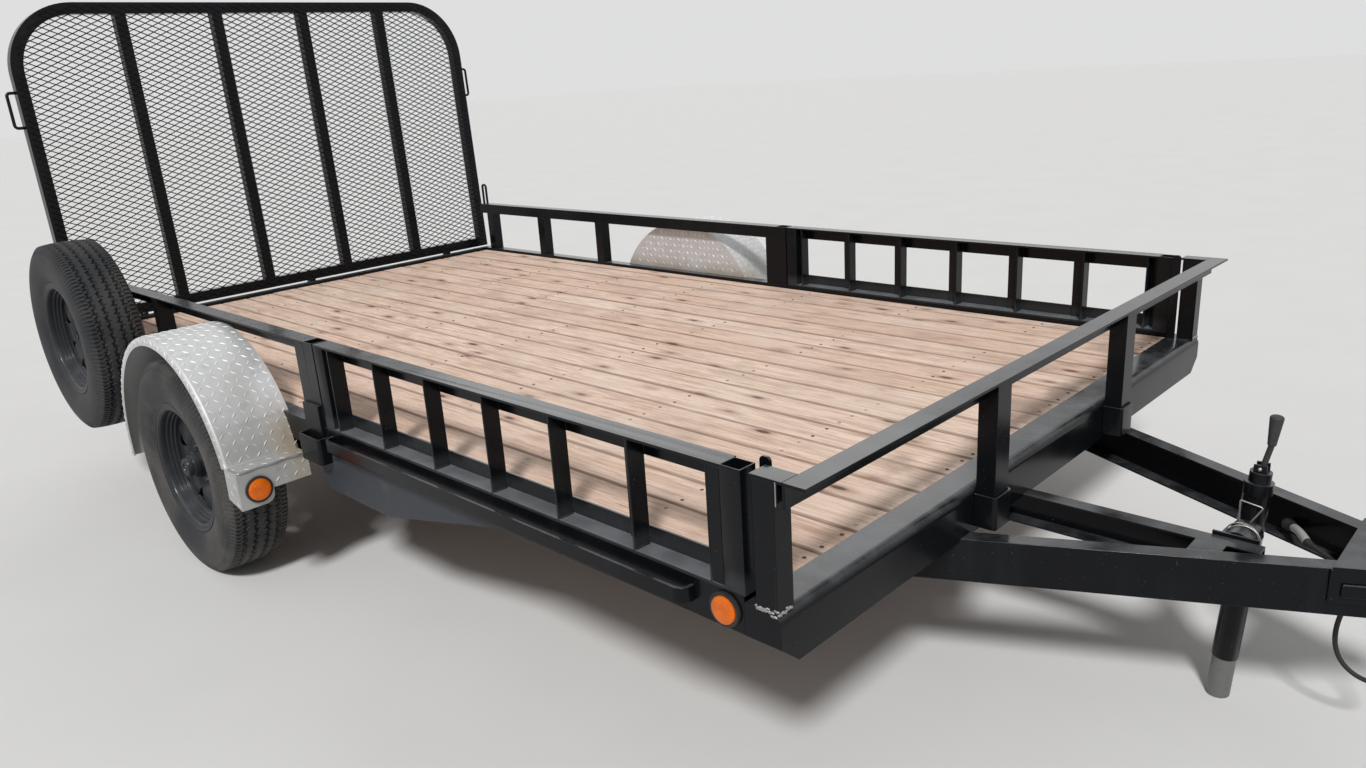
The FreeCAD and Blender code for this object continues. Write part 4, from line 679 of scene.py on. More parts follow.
def roll_fender_edge(piece):
    """Rolls the fender's outer edge, and sets its outer face in by the height of the lozenges on it."""
    mesh = piece.data
    points = np.zeros(len(mesh.vertices) * 3)
    mesh.vertices.foreach_get("co", points)
    points = (points.reshape(-1, 3) - placed((0, 0, 0))) / MM
    outer = np.abs(np.abs(points[:, 1]) - FENDER_OUTER) < 0.5
    points[outer, 1] -= np.sign(points[outer, 1]) * FACE_INSET
    mesh.vertices.foreach_set("co", placed(points).ravel())
    mesh.update()
    rim = outer & (np.abs(np.hypot(points[:, 0], points[:, 2] - FENDER_CENTRE) - FENDER_RADIUS) < 1.0)
    ends = np.zeros(len(mesh.edges) * 2, np.int32)
    mesh.edges.foreach_get("vertices", ends)
    chosen = rim[ends.reshape(-1, 2)].all(1)
    weight = mesh.attributes.new("bevel_weight_edge", "FLOAT", "EDGE")
    weight.data.foreach_set("value", chosen.astype(np.float32))
    modifier(piece, "BEVEL", width=EDGE_ROLL * MM, segments=5, limit_method="WEIGHT", harden_normals=True)


def dress(node, material, bevel):
    """Copies a steel node, joins its triangles into flat faces and softens its edges."""
    source = frame["nodes"][node]
    mesh = source.data.copy()
    mesh.materials.clear()
    edit_mesh(mesh, merge_doubles, mark_holed_faces, join_flat_faces)
    mesh.materials.append(material)
    mesh.polygons.foreach_set("use_smooth", np.full(len(mesh.polygons), True))
    piece = linked(node + "_dressed", mesh)
    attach(piece, source["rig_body"])
    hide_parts(node)
    sharpen(piece, STEEL_CORNER)
    if node.startswith("fender"):
        roll_fender_edge(piece)
    soften(piece, bevel, STEEL_CORNER, harden_normals=True, miter_outer="MITER_ARC")


print("dressing helpers ready")

# %% [markdown]
# Each steel node then gets its finish. Most are the same black enamel; sheet metal and small parts get a
# finer edge than the tubes. Two rubber pieces stay as they are and only change their finish.

# %% Dress the steel
STEEL = """side_members front_member rear_member rear_side_rails side_posts stake_pockets front_rail
           front_rail_posts rub_rails tongue_beams tongue_centre_beam coupler jack_tube jack_mount gate_top
           gate_sides gate_base gate_bars gate_latches gate_hinge_lugs rail_keepers spare_bracket
           spring_hangers axle_beam leaf_springs axle_clamps cross_members"""
TUBE_EDGE, SHEET_EDGE = 1.2, 0.8
dressing = {node: (enamel, TUBE_EDGE) for node in STEEL.split()}
dressing.update(side_ramp_left=(ramp_enamel, TUBE_EDGE), side_ramp_right=(ramp_enamel, TUBE_EDGE),
                side_gussets=(worn_sky_lit_gusset_enamel, SHEET_EDGE), coupler_latch=(zinc, SHEET_EDGE),
                jack_leg=(leg_steel, SHEET_EDGE), fender_left=(fender_metal, SHEET_EDGE),
                fender_right=(fender_metal, SHEET_EDGE), jack_crank=(grip_rubber, SHEET_EDGE))
for node, (material, bevel) in dressing.items():
    dress(node, material, bevel)
for node, material in (("lamp_grommets", trim_rubber), ("lead_plug", lead_rubber)):
    mesh = frame["nodes"][node].data
    mesh.materials.clear()
    mesh.materials.append(material)
print("dressed", len(dressing))

# %% [markdown]
# A lamp's lens is a turned form: a dome with a ring and a middle dot moulded into it. One profile does for
# all six, scaled to the radius, and each is given by its left lamp's place, which is mirrored.

# %% Lenses
SIDES = (1, -1)
LENS_PLAY = 0.4
LENS_PROFILE = ((0, 1.0), (8.0, 1.0), (10.4, 0.965), (12.2, 0.86), (12.5, 0.66), (13.1, 0.64), (13.5, 0.42),
                (13.6, 0.22), (12.9, 0.19), (12.9, 0.08), (13.7, 0.06), (13.8, 0.003))


def lenses(name, place, way, radius, material, node=None):
    """A domed lens on each side: depth and share of the radius are read off the profile."""
    profile = [(0, 0.1)] + [(depth, share * (radius - LENS_PLAY)) for depth, share in LENS_PROFILE]
    spots = [((place[0], side * place[1], place[2]), (way[0], side * way[1], 0.0)) for side in SIDES]
    piece = lathe(name, profile, spots, material, "chassis")
    if node:
        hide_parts(node)


lenses("amber_lenses_fender", (470.0, 1202.0, 384.0), (1.0, 0.0), 32.0, amber,
       "amber_lenses")
lenses("amber_lenses_side", (2071.0, 1048.0, 509.5), (0.0, 1.0), 28.0, amber)
lenses("tail_lenses_domed", (-1514.0, 950.0, 509.5), (-1.0, 0.0), 32.0, red, "tail_lenses")
print("lens rings", len(LENS_PROFILE))

# %% [markdown]
# Small fittings that the photograph shows on the tongue and at the near corner: the jack's wire bail, ears
# and tie wire, the raised bars on the coupler's cheeks, the plate on the ramp's last upright and the shims
# behind the front rail. They are boxes with soft edges and wires along a few points.

# %% Small fittings
JACK_HEAD = (2645.5, 553.0)
BAIL_SIDE = -31.5
BAIL = ((2622, 492), (2640, 489), (2660, 486), (2663.5, 483.5), (2662, 480), (2648, 455), (2635, 431),
        (2632, 428.5), (2628.5, 430), (2623.5, 436), (2622.5, 440), (2621, 466), (2620, 488), (2620.6, 491))
TIE_PLACE, TIE_RADIUS, TIE_TURNS = (2637.0, -66.0, 416.0), 34.0, 2.6
BEAM_REAR, BEAM_TIP = (2195.0, 435.0), (2939.0, 70.0)
CHEEK_SLOPE = (BEAM_TIP[1] - BEAM_REAR[1]) / (BEAM_TIP[0] - BEAM_REAR[0])
STUB_PLATE = (2037.5, 2069.5, -1047.8, -1042.5, 555.0, 779.5)
POST_SIDE = 1047.6


def cheek_at(x):
    """Half the width over the tongue's beams, and over the coupler's cheeks that go on in their line."""
    return BEAM_TIP[1] + CHEEK_SLOPE * (x - BEAM_TIP[0])


def tie_wire(share):
    """A loose coil round the jack: it sways as it turns, and its end stands off."""
    coil = 2 * np.pi * TIE_TURNS * share + 0.6
    reach = TIE_RADIUS + 2.0 * np.sin(coil * 1.7) + 16.0 * np.maximum(share - 0.9, 0) / 0.1
    along = 20.0 * share + 3.0 * np.sin(coil * 2.3)
    return np.stack([reach * np.cos(coil), along, reach * np.sin(coil)], -1) + TIE_PLACE


x, z = JACK_HEAD
tube("jack_bail", [(bail_x, BAIL_SIDE, bail_z) for bail_x, bail_z in BAIL], 1.7, zinc, "jack",
     closed=True)
tube("jack_tie_wire", tie_wire(np.linspace(0, 1, 90)), 1.5, zinc, "chassis", sides=8)
blocks("jack_ears", [(x - 13.0, x + 13.0, y, y + 5.0, z - 2.0, z + 17.0) for y in (-13.5, 8.5)], enamel,
       "jack")
tube("jack_pin", [(x, y, z + 9.0 + 0.01 * y) for y in (-19.0, 0.0, 19.0)], 3.5, zinc, "jack")
cheek = cheek_at(2834.0) + 6.0
blocks("coupler_bars", [(2834.0, 2906.0, side * (cheek - 2.0), side * (cheek + 6.5), 379.0, 409.0)
                        for side in SIDES], enamel, "chassis", 6.0, 4, CHEEK_SLOPE)
blocks("ramp_stub_plate", [STUB_PLATE], enamel, "ramp_right")
blocks("rail_shims", [(2188.5, 2195.5, *sorted((side * POST_SIDE, side * 1004.0)), 738.5, 780.5)
                      for side in SIDES], enamel, "chassis", 0.8)
print("cheek slope", round(CHEEK_SLOPE, 3))

# %% [markdown]
# A tyre is a closed ring: one parameter runs round the wheel and the other round the section. The tread
# is cut by lowering the radius where grooves run. Grooves are drawn on the same grid, so their walls are
# one step wide and look moulded.

# %% Tyres
TYRE_RADIUS = 344.0
TREAD_PITCHES = 72
STEPS_PER_PITCH = 12
TREAD_FOOT = 318.0
TYRE_WALL = ((-78.0, 187.0), (-78.5, 203.0), (-81.0, 209.0), (-86.0, 216.0), (-90.5, 228.0), (-92.2, 232.0),
             (-94.5, 244.0), (-96.8, 258.0), (-98.0, 276.0), (-97.3, 290.0), (-95.6, 300.0), (-94.6, 302.5),
             (-94.2, 305.5), (-92.3, 312.0), (-89.5, 320.0), (-86.5, 326.5), (-82.8, 332.0))
TYRE_INSIDE = ((60.0, 188.0), (0.0, 187.0), (-60.0, 188.0))
GROOVES = ((-50.0, 0.7), (-18.0, 1.0), (18.0, -1.0), (50.0, -0.7))
WHEELS = (("left", (0.0, 1154.0, TYRE_RADIUS), 1, "wheel_left"),
          ("right", (0.0, -1154.0, TYRE_RADIUS), -1, "wheel_right"),
          ("spare", (-950.0, -1156.0, 624.0), -1, "chassis"))


def tyre_section():
    """Offsets along Y and radii: the wall, a crown that falls off as |y| to the 2.4, the wall mirrored."""
    tread = np.linspace(-78.5, 78.5, 53)
    crown = TYRE_RADIUS - 5.0 * (np.abs(tread) / 75.0) ** 2.4
    left = np.array(TYRE_WALL)
    return np.concatenate([left, np.stack([tread, crown], 1), left[::-1] * [-1, 1], TYRE_INSIDE])


def tread_depth(y, pitch):
    """Depth of the cut: four stepped grooves round the tyre, notches in the ribs and shoulder slots."""
    stepped = np.clip(4.0 * (np.abs(2 * (pitch % 1.0) - 1.0) - 0.5) * 2.2, -3.4, 3.4)
    depth = np.zeros(np.broadcast(y, pitch).shape)
    for groove, sway in GROOVES:
        near = np.abs(y - groove - sway * stepped)
        depth = np.maximum(depth, np.where(near < 3.2, 7.5, 0.0))
        notch = (near < 9.5) & (((pitch * 2 + groove * 0.01) % 1.0) < 0.17)
        depth = np.maximum(depth, np.where(notch, 4.5, 0.0))
    shoulder = (np.abs(y) > 62.0) & (np.abs(y) < 92.0) & ((pitch * 2) % 1.0 < 0.17)
    return np.maximum(depth, np.where(shoulder, 5.0, 0.0))


def make_tyre(label, centre, body):
    """The section swept round the wheel: x = r cos, z = r sin, with the tread cut off the radius."""
    section = tyre_section()
    steps = TREAD_PITCHES * STEPS_PER_PITCH
    turn = np.arange(steps)[:, None]
    y, r = section[:, 0][None, :], section[:, 1][None, :]
    radius = r - tread_depth(y, turn / STEPS_PER_PITCH) * (r > TREAD_FOOT)
    angle = 2 * np.pi * turn / steps
    rings = np.stack(np.broadcast_arrays(radius * np.cos(angle), y, radius * np.sin(angle)), -1)
    rubber, node = (spare_rubber, "spare_tyre") if label == "spare" else (tyre_rubber, "tyre_" + label)
    piece = new_piece("tyre_" + label + "_tread", placed(rings + np.array(centre)),
                      quads_of(steps, len(section), True, True), rubber, body)
    sharpen(piece, 38.0)
    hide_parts(node)
    return piece


for label, centre, side, body in WHEELS:
    tyre = make_tyre(label, centre, body)
print("tyre faces", len(tyre.data.polygons))

# %% [markdown]
# The wheel behind it is pressed from sheet. The dished disc has eight small wedge windows. Each eighth of
# it is a patch whose inner edge is the window's outline and whose outer edge is the slice's outline, so
# the windows are true holes.

# %% Wheel disc
WINDOWS = 8
WINDOW_CENTRE = 136.0
WINDOW_SIDES = ((0.0, 1.0, 21.0), (0.86, -0.46, 19.0), (-0.86, -0.46, 19.0))
DISC_SEAT = 84.0
DISC_EDGE = 170.0
DISC_TABLE = np.array([(41, 18), (76, 18), (84, 19), (96, 27), (106, 31), (118, 32), (150, 30), (162, 27.5),
                       (170, 26)])
SEAT_RINGS = np.array([41.0, 60.0, 76.0, DISC_SEAT])
SEAT_STEPS = 112


def disc_height(radius):
    """How far the dished disc stands out at a radius, read off a table by straight lines."""
    return np.interp(radius, DISC_TABLE[:, 0], DISC_TABLE[:, 1])


def window_patch(rings=7, rays=56):
    """One eighth of the disc: rays from the window's middle, cut off at the window and at the slice.

    The window is a rounded triangle: the sum of the 7th powers of each side's share is one.
    """
    half = np.pi / WINDOWS
    corner = np.array([DISC_EDGE * np.sin(half), DISC_EDGE * np.cos(half) - WINDOW_CENTRE])
    low = np.array([DISC_SEAT * np.sin(half), DISC_SEAT * np.cos(half) - WINDOW_CENTRE])
    first, second = np.arctan2([corner[0], low[0]], [corner[1], low[1]])
    marks = [-first, first, second, 2 * np.pi - second, 2 * np.pi - first]
    ray = np.concatenate([np.linspace(*pair, rays // 4, endpoint=False) for pair in zip(marks, marks[1:])])
    px, py = np.sin(ray), np.cos(ray)
    share = sum((np.maximum(px * nx + py * ny, 1e-4) / far) ** 7 for nx, ny, far in WINDOW_SIDES)
    hole = share ** (-1 / 7)
    down = py * WINDOW_CENTRE
    out = -down + np.sqrt(down ** 2 - WINDOW_CENTRE ** 2 + DISC_EDGE ** 2)
    inside = down ** 2 - WINDOW_CENTRE ** 2 + DISC_SEAT ** 2
    seat = np.where((inside > 0) & (py < 0), -down - np.sqrt(np.maximum(inside, 0)), 1e9)
    edge = WINDOW_CENTRE * np.sin(half) / np.maximum(np.abs(px) * np.cos(half) - py * np.sin(half), 1e-6)
    reach = np.minimum(np.minimum(out, seat), np.where(edge > 0, edge, 1e9))
    span = hole + np.linspace(0, 1, rings)[:, None] * (reach - hole)
    return px * span, WINDOW_CENTRE + py * span


def make_disc(label, centre, side, body):
    """The windowed ring from eight patches, and the flat seat for the nuts inside it."""
    px, py = window_patch()
    patches = []
    for index in range(WINDOWS):
        turn = 2 * np.pi * (index + 0.5) / WINDOWS
        x, z = px * np.cos(turn) + py * np.sin(turn), -px * np.sin(turn) + py * np.cos(turn)
        patches.append(np.stack([x, disc_height(np.hypot(px, py)) * side, z], -1))
    points, faces = joined(patches, wrap_columns=True)
    turn = full_turn(SEAT_STEPS)
    seat = np.stack(np.broadcast_arrays(SEAT_RINGS * np.cos(turn), disc_height(SEAT_RINGS) * side,
                                        SEAT_RINGS * np.sin(turn)), -1)
    faces = np.concatenate([faces, quads_of(SEAT_STEPS, len(SEAT_RINGS), True, start=len(points))])
    points = np.concatenate([points, seat.reshape(-1, 3)]) + np.array(centre)
    piece = new_piece("rim_" + label + "_disc", placed(points), faces, rim_enamel, body)
    modifier(piece, "SOLIDIFY", thickness=5 * MM, offset=-1.0)
    soften(piece, 0.8, 50)


print("disc rings", len(DISC_TABLE))

# %% [markdown]
# Round the disc goes the barrel, turned like a pot on a lathe, and through it the hub. The nuts are the
# same kind of form with only six sides. The spare hangs on a bracket, so it has neither nuts nor a hub.

# %% Wheels
BARREL = ((-83, 206), (-81, 208), (-78.5, 207.5), (-78.4, 189), (-74, 185.8), (-52, 184), (-44, 170),
          (30, 170), (40, 178), (48, 184), (74, 185.8), (78.4, 189), (78.5, 207.5), (80.5, 208), (83, 207),
          (83, 202.5), (80.6, 199), (80.4, 190.5), (77, 184.5), (73, 182.3), (60, 181.2), (57.6, 176.4),
          (49, 175.2), (46.8, 170.6), (39, 169.6), (36.6, 165.6), (30, 165), (-42, 165), (-51, 178),
          (-72, 181), (-79, 186), (-83, 195))
HUB = ((-82, 36), (-80, 39), (2, 39), (2, 68), (4, 70), (10.5, 70), (12, 68.5), (12, 38.5), (17.5, 37.5),
       (22, 37.5), (24, 36), (40, 35.2), (42, 36.6), (56, 36.4), (60, 34.5), (61, 31), (72, 30.5),
       (76.5, 28), (78, 25), (78, 16), (75, 14.5), (75, 7), (77, 6), (77, 0.1), (42, 0.1), (42, 19.1),
       (-82, 19.1))
NUT = ((17, 0.1), (17, 9.2), (18.5, 10.4), (30, 10.4), (33, 8.6), (37, 6.0), (38, 0.1))
NUT_COUNT, NUT_SIDES, NUT_CIRCLE = 5, 6, 57.15


def nut_ring(label, centre, side, body):
    """Five conical nuts on a circle: each is a six-sided turned form."""
    around = 2 * np.pi * (np.arange(NUT_COUNT) + 0.25) / NUT_COUNT
    shift = np.stack([NUT_CIRCLE * np.cos(around), np.zeros(NUT_COUNT), NUT_CIRCLE * np.sin(around)], -1)
    nuts = turned(NUT, (0.0, 0.0, 0.0), (0.0, side, 0.0), NUT_SIDES) + shift[:, None, None]
    faces = repeated(quads_of(NUT_SIDES, len(NUT), True), NUT_COUNT, NUT_SIDES * len(NUT))
    piece = new_piece("rim_" + label + "_nuts", placed(nuts + np.array(centre)), faces, rim_enamel, body,
                      smooth=False)
    soften(piece, 0.6, 30)


for label, centre, side, body in WHEELS:
    spare = label == "spare"
    line = [(centre, (0.0, float(side), 0.0))]
    barrel = lathe("rim_" + label + "_barrel", BARREL, line, rim_enamel, body, 128, 28.0)
    soften(barrel, 1.1, 28)
    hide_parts("spare_rim" if spare else "rim_" + label)
    make_disc(label, centre, side, body)
    if not spare:
        nut_ring(label, centre, side, body)
        hub = lathe("hub_" + label + "_turned", HUB, line, rim_enamel, body, 64, 30.0)
        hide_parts("hub_" + label)
print("wheels", len(WHEELS))

# %% [markdown]
# Expanded metal is a sheet slit in rows and pulled open, so each strand runs in a zigzag and meets its
# neighbours at flat knuckles. Here every second zigzag is the mirror of the one before, and each strand
# is a small rectangular bar that follows it.

# %% Gate mesh
GATE_PLANE = -1524.0
GATE_PIN = (-1540.0, 535.0)
GATE_LEAN = math.radians(2.5)
MESH_LOW, MESH_HIGH, MESH_HALF = 564.0, 1816.0, 1031.0
MESH_CORNER = 258.0
DIAMOND_WIDTH = 52.0
DIAMOND_HEIGHT = 24.0
STRAND_WIDTH = 3.8
STRAND_DEPTH = 2.7
KNUCKLE = 1.5
STRAND_FACES = np.array([(0, 1, 2, 3), (7, 6, 5, 4), (0, 4, 5, 1), (1, 5, 6, 2), (2, 6, 7, 3),
                         (3, 7, 4, 0)])


def leaned(x, z):
    """Turns points of the upright gate back about its pin."""
    dx, dz = x - GATE_PIN[0], z - GATE_PIN[1]
    return (GATE_PIN[0] + dx * math.cos(GATE_LEAN) - dz * math.sin(GATE_LEAN),
            GATE_PIN[1] + dx * math.sin(GATE_LEAN) + dz * math.cos(GATE_LEAN))


def inside(y, z):
    """Whether points lie in the gate's outline, a rectangle with round upper corners."""
    over = np.hypot(np.maximum(np.abs(y) - (MESH_HALF - MESH_CORNER), 0),
                    np.maximum(z - (MESH_HIGH - MESH_CORNER), 0))
    return (over <= MESH_CORNER) & (z >= MESH_LOW - 1) & (z <= MESH_HIGH + 1)


def strand_lines():
    """Both ends of every strand: z goes up and down by half a diamond from one knuckle to the next."""
    rows = int((MESH_HIGH - MESH_LOW) / DIAMOND_HEIGHT)
    columns = int(2 * MESH_HALF / (DIAMOND_WIDTH / 2))
    step = (MESH_HIGH - MESH_LOW) / rows
    level = MESH_LOW + np.arange(rows + 1)[:, None] * step
    sway = 0.5 * step * (np.arange(columns + 1) % 2)
    lines = []
    for flip in (1, -1):
        z = level + sway * flip
        y = np.broadcast_to(-MESH_HALF + np.arange(columns + 1) * (2 * MESH_HALF / columns), z.shape)
        lines.append(np.stack([y[:, :-1], z[:, :-1], y[:, 1:], z[:, 1:]], -1).reshape(-1, 4))
    lines = np.concatenate(lines)
    return lines[inside(lines[:, 0], lines[:, 1]) & inside(lines[:, 2], lines[:, 3])]


def make_gate_mesh():
    """A bar for every strand: four corners round each of its ends, a little past the knuckle."""
    lines = strand_lines()
    start, end = lines[:, :2], lines[:, 2:]
    along = (end - start) / np.linalg.norm(end - start, axis=1, keepdims=True)
    across = np.stack([-along[:, 1], along[:, 0]], 1) * STRAND_WIDTH / 2
    corners = []
    for point in (start - along * KNUCKLE, end + along * KNUCKLE):
        for width, front in ((1, 1), (1, -1), (-1, -1), (-1, 1)):
            y, z = (point + width * across).T
            x = np.full(len(y), GATE_PLANE + front * STRAND_DEPTH / 2 + width * 0.5)
            corners.append(np.stack([x, y, z], -1))
    corners = np.stack(corners, 1)
    x, z = leaned(corners[..., 0], corners[..., 2])
    piece = new_piece("gate_expanded_mesh", placed(np.stack([x, corners[..., 1], z], -1)),
                      repeated(STRAND_FACES, len(lines), 8), enamel, "gate", smooth=False,
                      mend=False)
    edit_mesh(piece.data, face_outward)
    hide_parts("gate_mesh")
    print("gate strands", len(lines))


make_gate_mesh()

# %% [markdown]
# The fenders are bent from tread plate. Its lozenges stand in a chequer, each turned a right angle to its
# neighbours. One lozenge is a low pointed pad. A plate is a flat field of pads, and a map carries it over
# the crown and round its rolled edge, or onto the step, the cheek or the wall beside the deck.

# %% Tread plate lozenges
SIDE_NAMES = ((1, "left"), (-1, "right"))
LOZENGE_PITCH = 25.5
LOZENGE_LENGTH = 21.0
LOZENGE_WIDTH = 5.0
LOZENGE_RISE = 1.5
LOZENGE_FOOT = 0.3
FACE = FENDER_OUTER - FACE_INSET
LIP_HEIGHT = 24.0
STEP_TOP, STEP_INNER, STEP_REAR, STEP_FRONT = 444.0, 1050.0, 408.0, 470.0
CHEEK_REAR, CHEEK_LOW = 405.0, 338.0
WALL_HALF, WALL_LOW, WALL_REACH = 380.0, 558.0, 396.0
CROWN_LOW = 300.0
CROWN_REAR = np.pi - math.asin((CROWN_LOW - FENDER_CENTRE) / FENDER_RADIUS)
CROWN_FRONT = math.asin((STEP_TOP - FENDER_CENTRE) / FENDER_RADIUS)
CROWN_FLAT = FACE - EDGE_ROLL - FENDER_INNER
CROWN_BEND = EDGE_ROLL * np.pi / 2


def lozenge_pad():
    """A pad on a 9 by 5 grid: its height falls off along and across, and its plan is pointed.

    Along it is cos(u pi / 2) to the 0.6, across it is 1 - 0.9 v to the 4th, and the plan is 1 - u squared
    to the 0.75.
    """
    u = np.linspace(-1, 1, 9)[:, None]
    v = np.linspace(-1, 1, 5)[None, :]
    plan = np.maximum(1 - u ** 2, 0) ** 0.75
    height = LOZENGE_RISE * np.cos(u * np.pi / 2) ** 0.6 * (1 - 0.9 * v ** 4)
    height = np.where(np.abs(v) > 0.99, -LOZENGE_FOOT, height) * (plan > 0) - LOZENGE_FOOT * (plan <= 0)
    return np.broadcast_arrays(u * LOZENGE_LENGTH / 2, v * plan * LOZENGE_WIDTH / 2, height)


def lozenge_field(length, width):
    """Chequer places and turns that fill a length by width plate."""
    rows = max(int(length // LOZENGE_PITCH), 1)
    columns = max(int(width // LOZENGE_PITCH), 1)
    i, j = np.meshgrid(np.arange(rows), np.arange(columns), indexing="ij")
    turn = np.where((i + j) % 2 == 0, np.pi / 4, -np.pi / 4)
    return ((i + 0.5) * length / rows).ravel(), ((j + 0.5) * width / columns).ravel(), turn.ravel()


def crown_map(s, t, h):
    """Arc length from the rear, way across from the inner edge and height, as a point on the crown.

    Past the flat the way across turns round the rolled edge and then runs down the lip.
    """
    angle = CROWN_REAR - s / FENDER_RADIUS
    bend = np.clip((t - CROWN_FLAT) / EDGE_ROLL, 0, np.pi / 2)
    down = np.maximum(t - CROWN_FLAT - CROWN_BEND, 0)
    y = FENDER_INNER + np.minimum(t, CROWN_FLAT) + (EDGE_ROLL + h) * np.sin(bend)
    radius = FENDER_RADIUS - EDGE_ROLL + (EDGE_ROLL + h) * np.cos(bend) - down
    return radius * np.cos(angle), y, FENDER_CENTRE + radius * np.sin(angle)


PLATES = (
    ((CROWN_REAR - CROWN_FRONT) * FENDER_RADIUS, CROWN_FLAT + CROWN_BEND + LIP_HEIGHT - EDGE_ROLL,
     np.inf, crown_map),
    (60.0, FACE - STEP_INNER, np.inf, lambda s, t, h: (STEP_REAR + s, STEP_INNER + t, STEP_TOP + h)),
    (62.0, 108.0, np.inf, lambda s, t, h: (STEP_FRONT + h, STEP_INNER + t, STEP_TOP - 4.0 - s)),
    (104.0, 60.0, np.inf, lambda s, t, h: (CHEEK_REAR + t, FACE + h, CHEEK_LOW + s)),
    (2 * WALL_HALF, 200.0, WALL_REACH, lambda s, t, h: (s - WALL_HALF, FENDER_INNER - h, WALL_LOW + t)),
)


def make_lozenges(side, label):
    """Pads on the crown, the step's top and front, the cheek and the wall, kept within a reach."""
    a, b, h = lozenge_pad()
    pads = []
    for length, width, reach, carry in PLATES:
        s, t, turn = lozenge_field(length, width)
        x, _, z = carry(s, t, 0.0)
        kept = np.hypot(x, z - FENDER_CENTRE) < reach
        s, t, turn = (row[kept][:, None, None] for row in (s, t, turn))
        x, y, z = carry(s + a * np.cos(turn) - b * np.sin(turn), t + a * np.sin(turn) + b * np.cos(turn), h)
        pads.extend(np.stack(np.broadcast_arrays(x, side * y, z), -1))
    points, faces = joined(pads)
    new_piece("fender_" + label + "_lozenges", placed(points), faces[:, ::side], lit_lozenge_metal, "chassis",
              mend=False)
    print(label, "lozenges", len(pads))


for side, label in SIDE_NAMES:
    make_lozenges(side, label)

# %% [markdown]
# Welds hold the trailer together, and the photograph shows the rough ones: along the front edge of each
# step, at the feet of the ramps' rungs and round the corner posts. A bead is a tube that swells once every
# few millimetres and runs out to nothing at both ends, half sunk in the joint.

# %% Weld beads
BEAD_RIPPLE = 4.5
BEAD_STEP = 1.4
BEAD_SIDES = 10


def bead(start, end, radius, rng):
    """A grid of points: rings along a line whose radius ripples, and goes to nothing at the ends."""
    start, end = np.array(start, float), np.array(end, float)
    length = np.linalg.norm(end - start)
    way = (end - start) / length
    side = np.cross(way, UP if abs(way[2]) < 0.9 else (1.0, 0.0, 0.0))
    side /= np.linalg.norm(side)
    run = np.linspace(0, length, max(int(length / BEAD_STEP), 9))
    swell = 1 + 0.22 * np.abs(np.sin(np.pi * run / BEAD_RIPPLE + rng.uniform(0, 3)))
    drift = 0.3 * radius * np.sin(run / rng.uniform(9.0, 17.0) + rng.uniform(0, 6))
    ends = np.sqrt(np.clip(np.minimum(run, length - run) / (1.6 * radius), 0, 1))
    ring = ring_round(way, side, BEAD_SIDES)
    middle = start + run[None, :, None] * way + drift[None, :, None] * side * ends[None, :, None]
    return middle + ring * (radius * swell * ends)[None, :, None]


def welds(name, lines, radius, material, body, seed):
    """All beads of one body as one piece, from the ends of each."""
    rng = np.random.default_rng(seed)
    points, faces = joined([bead(start, end, radius, rng) for start, end in lines], wrap_rows=True)
    new_piece(name, placed(points), faces, material, body)


print("bead sides", BEAD_SIDES)

# %% [markdown]
# The corner posts were welded by hand in short strokes, so their beads are many, each with its own small
# slant. One long bead would do for the strength, but from a few steps away it looks like a white stripe.

# %% Welds
RUNG_PLACES = 700.0 + 228.6 * np.arange(6)
RUNG_FOOT = 554.6
RUNG_SPAN = {1: (1002.0, 1040.0), -1: (-1046.0, -1008.0)}
STEP_EDGE = STEP_TOP - 1.0
POST_REAR, POST_FRONT, POST_FOOT = 2141.0, 2189.6, 538.0
RAIL_END = (2192.0, 1047.2)
COUPLER_REAR = 2815.5
for side, label in SIDE_NAMES:
    lip = side * (FACE - 5.0)
    edges = [((469.0, side * 1052.0, STEP_EDGE), (469.0, side * 1253.0, STEP_EDGE)),
             ((409.0, lip, STEP_EDGE), (468.0, lip, STEP_EDGE))]
    welds("fender_" + label + "_weld", edges, 3.4, weld_metal, "chassis", 11)
    low, high = RUNG_SPAN[side]
    feet = [((x + shift, low, RUNG_FOOT), (x + shift, high, RUNG_FOOT))
            for x in RUNG_PLACES for shift in (0.5, -6.5)]
    welds("ramp_" + label + "_weld", feet, 2.3, enamel, "ramp_" + label, 12)
corner_beads, rail_beads, cheek_beads = [], [], []
scatter = np.random.default_rng(21)
for side in SIDES:
    for spot in range(20):
        x, y, z = POST_REAR + 2.5 * spot, side * POST_SIDE, POST_FOOT + scatter.uniform(-6.0, 6.0)
        run, rise = scatter.uniform(3.0, 7.0), scatter.uniform(-2.5, 2.5)
        corner_beads.append(((x - run, y, z - rise), (x + run, y, z + rise)))
    for spot in range(14):
        x, y, z = POST_FRONT, 1045.0 - 2.7 * spot, POST_FOOT + scatter.uniform(-4.0, 4.0)
        run, rise = scatter.uniform(3.0, 6.0), scatter.uniform(-2.0, 2.0)
        corner_beads.append(((x, side * (y + run), z - rise), (x, side * (y - run), z + rise)))
    rail_beads.append([(RAIL_END[0], side * RAIL_END[1], z) for z in (784.0, 738.0)])
    cheek_beads.append([(COUPLER_REAR, side * (cheek_at(2817.0) + 4.0), z) for z in (438.0, 365.0)])
welds("corner_post_weld", corner_beads, 2.4, weld_metal, "chassis", 13)
welds("rail_end_weld", rail_beads, 1.3, weld_metal, "chassis", 14)
welds("coupler_weld", cheek_beads, 2.8, enamel, "chassis", 15)
print("corner beads", len(corner_beads))

# %% [markdown]
# The deck boards get rounded edges, and each has a slow wave of its own along its top, so the joints read
# as joints. Each board carries its number as an attribute for the stain to use, and its points near a
# joint carry a one for the dirt.

